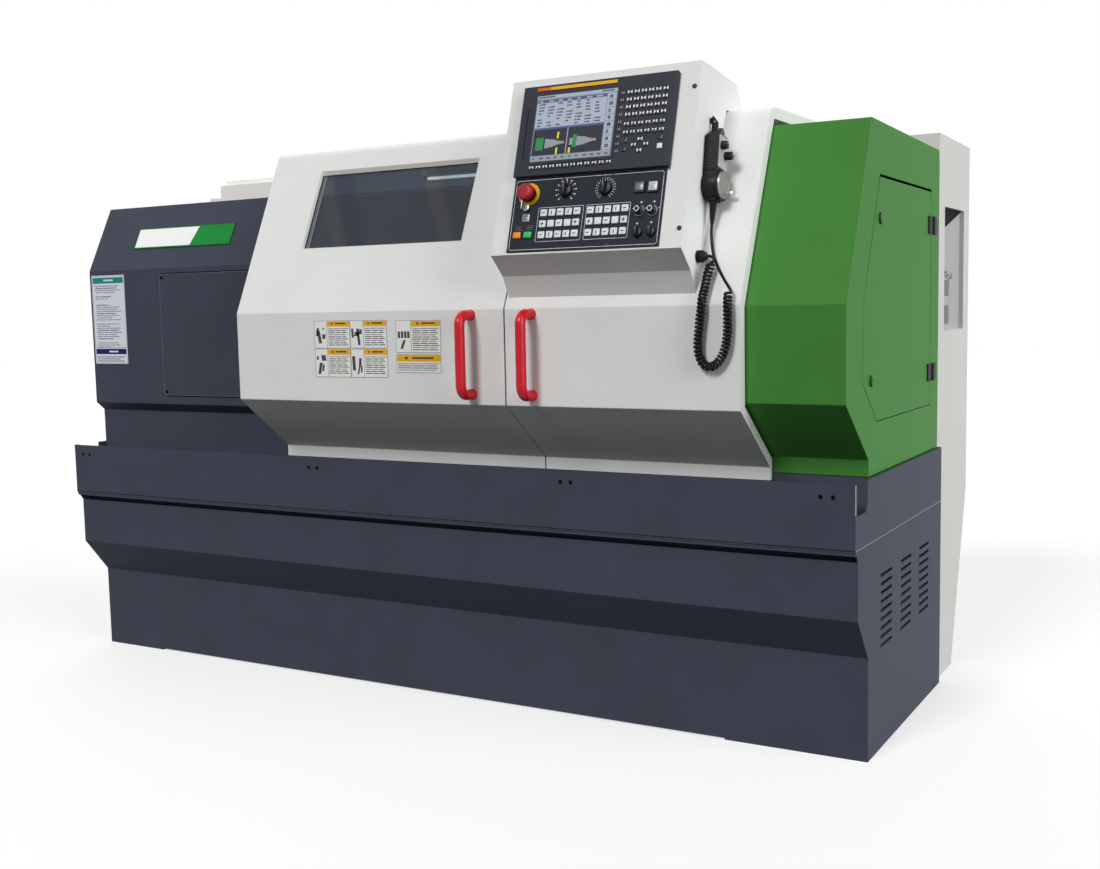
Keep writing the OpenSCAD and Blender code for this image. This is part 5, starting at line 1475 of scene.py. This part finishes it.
class LATHE_OT_side(bpy.types.Operator):
    """Fits the electrical cabinet's recess plate in painted shade, its hook, its grilles and a painted shadow
    under the recess's hood
    """
    bl_idname = "lathe.side"
    bl_label = "Side Fittings"

    def execute(self, context):
        shape = Shape(RECESS)
        # darker grey plate on the recess's back: painted shade in the recess
        shape.box(706, 944, 934, 1269, -0.2, 0.5, "recess_grey")
        # dark triangle of painted shadow under the recess's sloping hood
        shape.slab([(706, 1206), (934, 1266), (934, 1269), (706, 1269)], 0.3, 1.6, "seam_dark")
        shape.slab([(706, 1203), (934, 1263), (934, 1266), (706, 1206)], 0.3, 2.4, "recess_grey")
        # two small grilles in dark frames
        slat = tile(33, 1.3, -0.3, 2.2, "mark_grey", edge=0.6)
        for v0, v1, n in ((1036, 1078, 7), (960, 1010, 8)):
            shape.box(736, v0, 807, v1, 0.3, 1.2, "grille_dark", 3, 0.4)
            shape.grid(slat, 771.5, v0 + 4.6, 1.2, 1, n, 10, (v1 - v0 - 9.2) / (n - 1))
        # hook and eye for the padlock
        hook = [(1187, 752, 1100), (1193, 752, 1099), (1195, 760, 1094), (1194.5, 778, 1090),
                (1194, 800, 1096), (1194, 812, 1090), (1193, 806, 1082), (1192, 794, 1083)]
        shape.tube([at(*p) for p in hook], 2.4, "zinc", 8)
        shape.box(744, 1092, 762, 1106, 0.3, 2.6, "zinc", 2, 0.6)
        shape.build("cabinet_trim", "electrical_cabinet", "white_paint")
        return {"FINISHED"}


class LATHE_OT_back(bpy.types.Operator):
    """Fits the service panels, louvres and cable conduits at the back"""
    bl_idname = "lathe.back"
    bl_label = "Back Panels"

    def execute(self, context):
        base_y, wall_y, cabinet_y, flank_x = 640, 617, 1000, 558
        base, wall, cabinet = (Face((0, y, 0), (-1, 0, 0)) for y in (base_y, wall_y, cabinet_y))
        screw = peg([(0, -0.4), (4.6, -0.4), (4.6, 1.4), (3.2, 2.4), (0, 2.4)], "zinc", 16)
        slot = tile(34, 2.6, -0.3, 0.5, "seam_dark", 2)
        for name, node, face, panels, vents in (
            ("base_back", "base_cabinet", base, ((330, 60, 1150, 430), (-500, 60, 270, 430)), ((-115, 250),)),
            ("head_back", "headstock_cover", wall, ((500, 700, 1150, 1300),), ((700, 1130), (950, 1130))),
            ("wall_back", "enclosure_frame", wall, ((-505, 700, 395, 1340),), ()),
        ):
            shape = Shape(face)
            for u0, v0, u1, v1 in panels:
                shape.frame(u0, v0, u1, v1, 2, -0.3, 0.15, "seam_dark", 6)
                # screws along the panel's edges, 16 mm in
                us, vs = self.row(u0, u1), self.row(v0, v1)
                for u in (us[0], us[-1]):
                    shape.spots(screw, [(u, v) for v in vs])
                for v in (vs[0], vs[-1]):
                    shape.spots(screw, [(u, v) for u in us[1:-1]])
            for u, v in vents:
                # louvre slots as dark tiles: painted shade in the openings
                shape.grid(slot, u - 48, v, 0, 2, 9, 96, 15)
            shape.build(name, node)
        shape = Shape(cabinet)
        shape.frame(-1176, 560, -580, 1432, 2, -0.4, 0.02, "seam_dark", 4)
        for v in (700, 1290):
            shape.box(-1168, v, -1156, v + 46, -0.4, 0.02, "seam_dark", 4)
        # flexible conduits from the cabinet's inner side to the machine's back
        gland = peg([(0, -0.5), (24, -0.5), (24, 6), (21, 9), (21, 20), (18, 24), (15, 24), (0, 24)],
                    "knob_black", 24)
        for z, x, y in ((930, 420, 800), (850, 470, 760)):
            shape.on(flank(flank_x, -1)).spots(gland, [(-y, z)])
            shape.on(wall).spots(gland, [(-x, z - 40)])
            line = smooth_path([
                (flank_x - 20, y, z), (flank_x - 60, y, z - 2), ((flank_x + x) / 2 - 30, y - 30, z - 16),
                (x, wall_y + 70, z - 38), (x, wall_y + 20, z - 40)], 5)
            ribbed = [13.2 + 1.1 * (k % 2) for k in range(len(line))]
            shape.tube([at(*p) for p in line], ribbed, "rubber", 16)
        shape.build("cabinet_back", "electrical_cabinet", "white_paint")
        return {"FINISHED"}

    def row(self, low, high, margin=16, spacing=260):
        """Places of screws from one edge of a panel to the other."""
        n = max(2, round((high - low) / spacing))
        return [low + margin + (high - low - 2 * margin) * k / (n - 1) for k in range(n)]


class LATHE_OT_inside(bpy.types.Operator):
    """Fits the chuck's bolts, the tool post's screws and inserts, and the carriage's wipers"""
    bl_idname = "lathe.inside"
    bl_label = "Working Parts"

    def execute(self, context):
        cap = peg([(0, -0.4), (3.4, -0.4), (3.4, -0.2), (7.2, -0.2), (7.2, 5.4), (6.0, 6.6), (3.6, 6.6),
                   (3.6, 1.6), (0, 1.6)], "black_oxide", 24)
        # chuck: bolts between the jaws and two grooves round the body
        low, high = corners("chuck")
        y, z = (low[1] + high[1]) / 2, (low[2] + high[2]) / 2
        chuck, bolt_circle = Shape(flank(high[0])), 66
        for a in (30, 150, 270):
            turns = [math.radians(a) + k for k in (-0.36, 0.36)]
            chuck.spots(cap, [(y + bolt_circle * math.cos(t), z + bolt_circle * math.sin(t)) for t in turns])
        # the grooves as dark rings: painted shade
        for w in (-24, -66):
            chuck.collar(y, z, [(104.4, w), (105.2, w), (105.2, w + 2), (104.4, w + 2)], "seam_dark", 72)
        chuck.build("chuck_bolts", "chuck")
        # tool post: clamp screws, tool inserts and the handle's boss
        post = Shape()
        stud = peg([(0, -0.5), (6.4, -0.5), (6.4, 2), (4.6, 3), (4.6, 5)], "black_oxide", 20)
        stud.pad(0, 0, 4.4, 4.4, 4, 15, "black_oxide", 0.8, 0.8)
        insert = Shape().slab([(-6.5, -5), (5, -6), (9.4, 8.6), (-4, 6)], -0.3, 4.2, "carbide_gold", 0.5)
        insert.turned(0.5, 0.5, [(0, 4), (2.4, 4), (2.4, 5.0), (1.2, 5.0), (1.2, 4.4), (0, 4.4)],
                      "black_oxide", 16)
        seat = Shape().box(-9.8, -22, 9.8, 10, -0.3, 0.4, "black_oxide")
        for k in range(4):
            t = math.radians(90 * k)
            right, up = (math.cos(t), math.sin(t), 0), (-math.sin(t), math.cos(t), 0)
            post.on(Face((*POST_AT, POST_TOP), right, up)).spots(stud, [(53, -48), (53, -20), (53, 8)])
            post.on(Face((*POST_AT, SHANKS), right, up)).spots(seat, [(51, 89.6)])
            post.spots(insert, [(53, 90)], 0.3)
        post.on(Face((*POST_AT, POST_TOP), up=(0, 1, 0)))
        post.turned(0, 0, [(0, 23), (30, 23), (30, 24.6), (22, 24.6), (20, 22.8), (13, 22.8), (12, 24.6),
                           (0, 24.6)], "bright_steel", 40)
        post.build("tool_post_screws", "turret")
        # carriage: rubber wipers against the ways, and screws along its front
        (x0, y0, _), (x1, y1, top) = corners("carriage")
        wipers = Shape()
        for x, way in ((x0, -1), (x1, 1)):
            u0, u1 = sorted((way * (y0 + 12), way * (y1 - 12)))
            wipers.on(flank(x, way))
            wipers.box(u0, top - 52, u1, top - 30, -0.3, 3, "rubber", 2)
            wipers.box(u0, top - 44, u1, top - 32, 2.8, 4, "zinc", 2)
        wipers.on(Face((0, y0, 0)))
        wipers.spots(cap, [(x0 + 30 + k * (x1 - x0 - 60) / 3, top - 20) for k in range(4)])
        wipers.build("carriage_wipers", "carriage")
        return {"FINISHED"}


class LATHE_PT_panel(bpy.types.Panel):
    """Lists the lathe's settings and pieces"""
    bl_idname = "LATHE_PT_panel"
    bl_label = "Turning Lathe"
    bl_space_type = "VIEW_3D"
    bl_region_type = "UI"
    bl_category = "Lathe"

    def draw(self, context):
        for attribute in GROUPS:
            group = getattr(context.scene, attribute)
            box = self.layout.box()
            for name in group.bl_rna.properties.keys():
                if name not in ("rna_type", "name"):
                    box.prop(group, name)
        for op in OPERATORS:
            self.layout.operator(op.bl_idname)


GROUPS = {
    "lathe": LatheSettings, "lathe_cord": CordSettings,
    "lathe_control": ControlSettings, "lathe_fittings": FittingSettings,
}
OPERATORS = (
    LATHE_OT_stage, LATHE_OT_cord, LATHE_OT_display, LATHE_OT_panel, LATHE_OT_handles, LATHE_OT_doors,
    LATHE_OT_headstock, LATHE_OT_base, LATHE_OT_pendant, LATHE_OT_side,
    LATHE_OT_back, LATHE_OT_inside, LATHE_OT_finishes,
)
CLASSES = (*GROUPS.values(), *OPERATORS, LATHE_PT_panel)


def register():
    for cls in CLASSES:
        bpy.utils.register_class(cls)
    for attribute, group in GROUPS.items():
        setattr(bpy.types.Scene, attribute, PointerProperty(type=group))


def unregister():
    for attribute in GROUPS:
        delattr(bpy.types.Scene, attribute)
    for cls in reversed(CLASSES):
        bpy.utils.unregister_class(cls)


def main():
    register()
    bpy.ops.lathe.stage()
    bpy.ops.lathe.cord()
    bpy.ops.lathe.display()
    bpy.ops.lathe.panel()
    bpy.ops.lathe.handles()
    bpy.ops.lathe.doors()
    bpy.ops.lathe.headstock()
    bpy.ops.lathe.base()
    bpy.ops.lathe.pendant()
    bpy.ops.lathe.side()
    bpy.ops.lathe.back()
    bpy.ops.lathe.inside()
    bpy.ops.lathe.finishes()


if __name__ == "__main__":
    main()
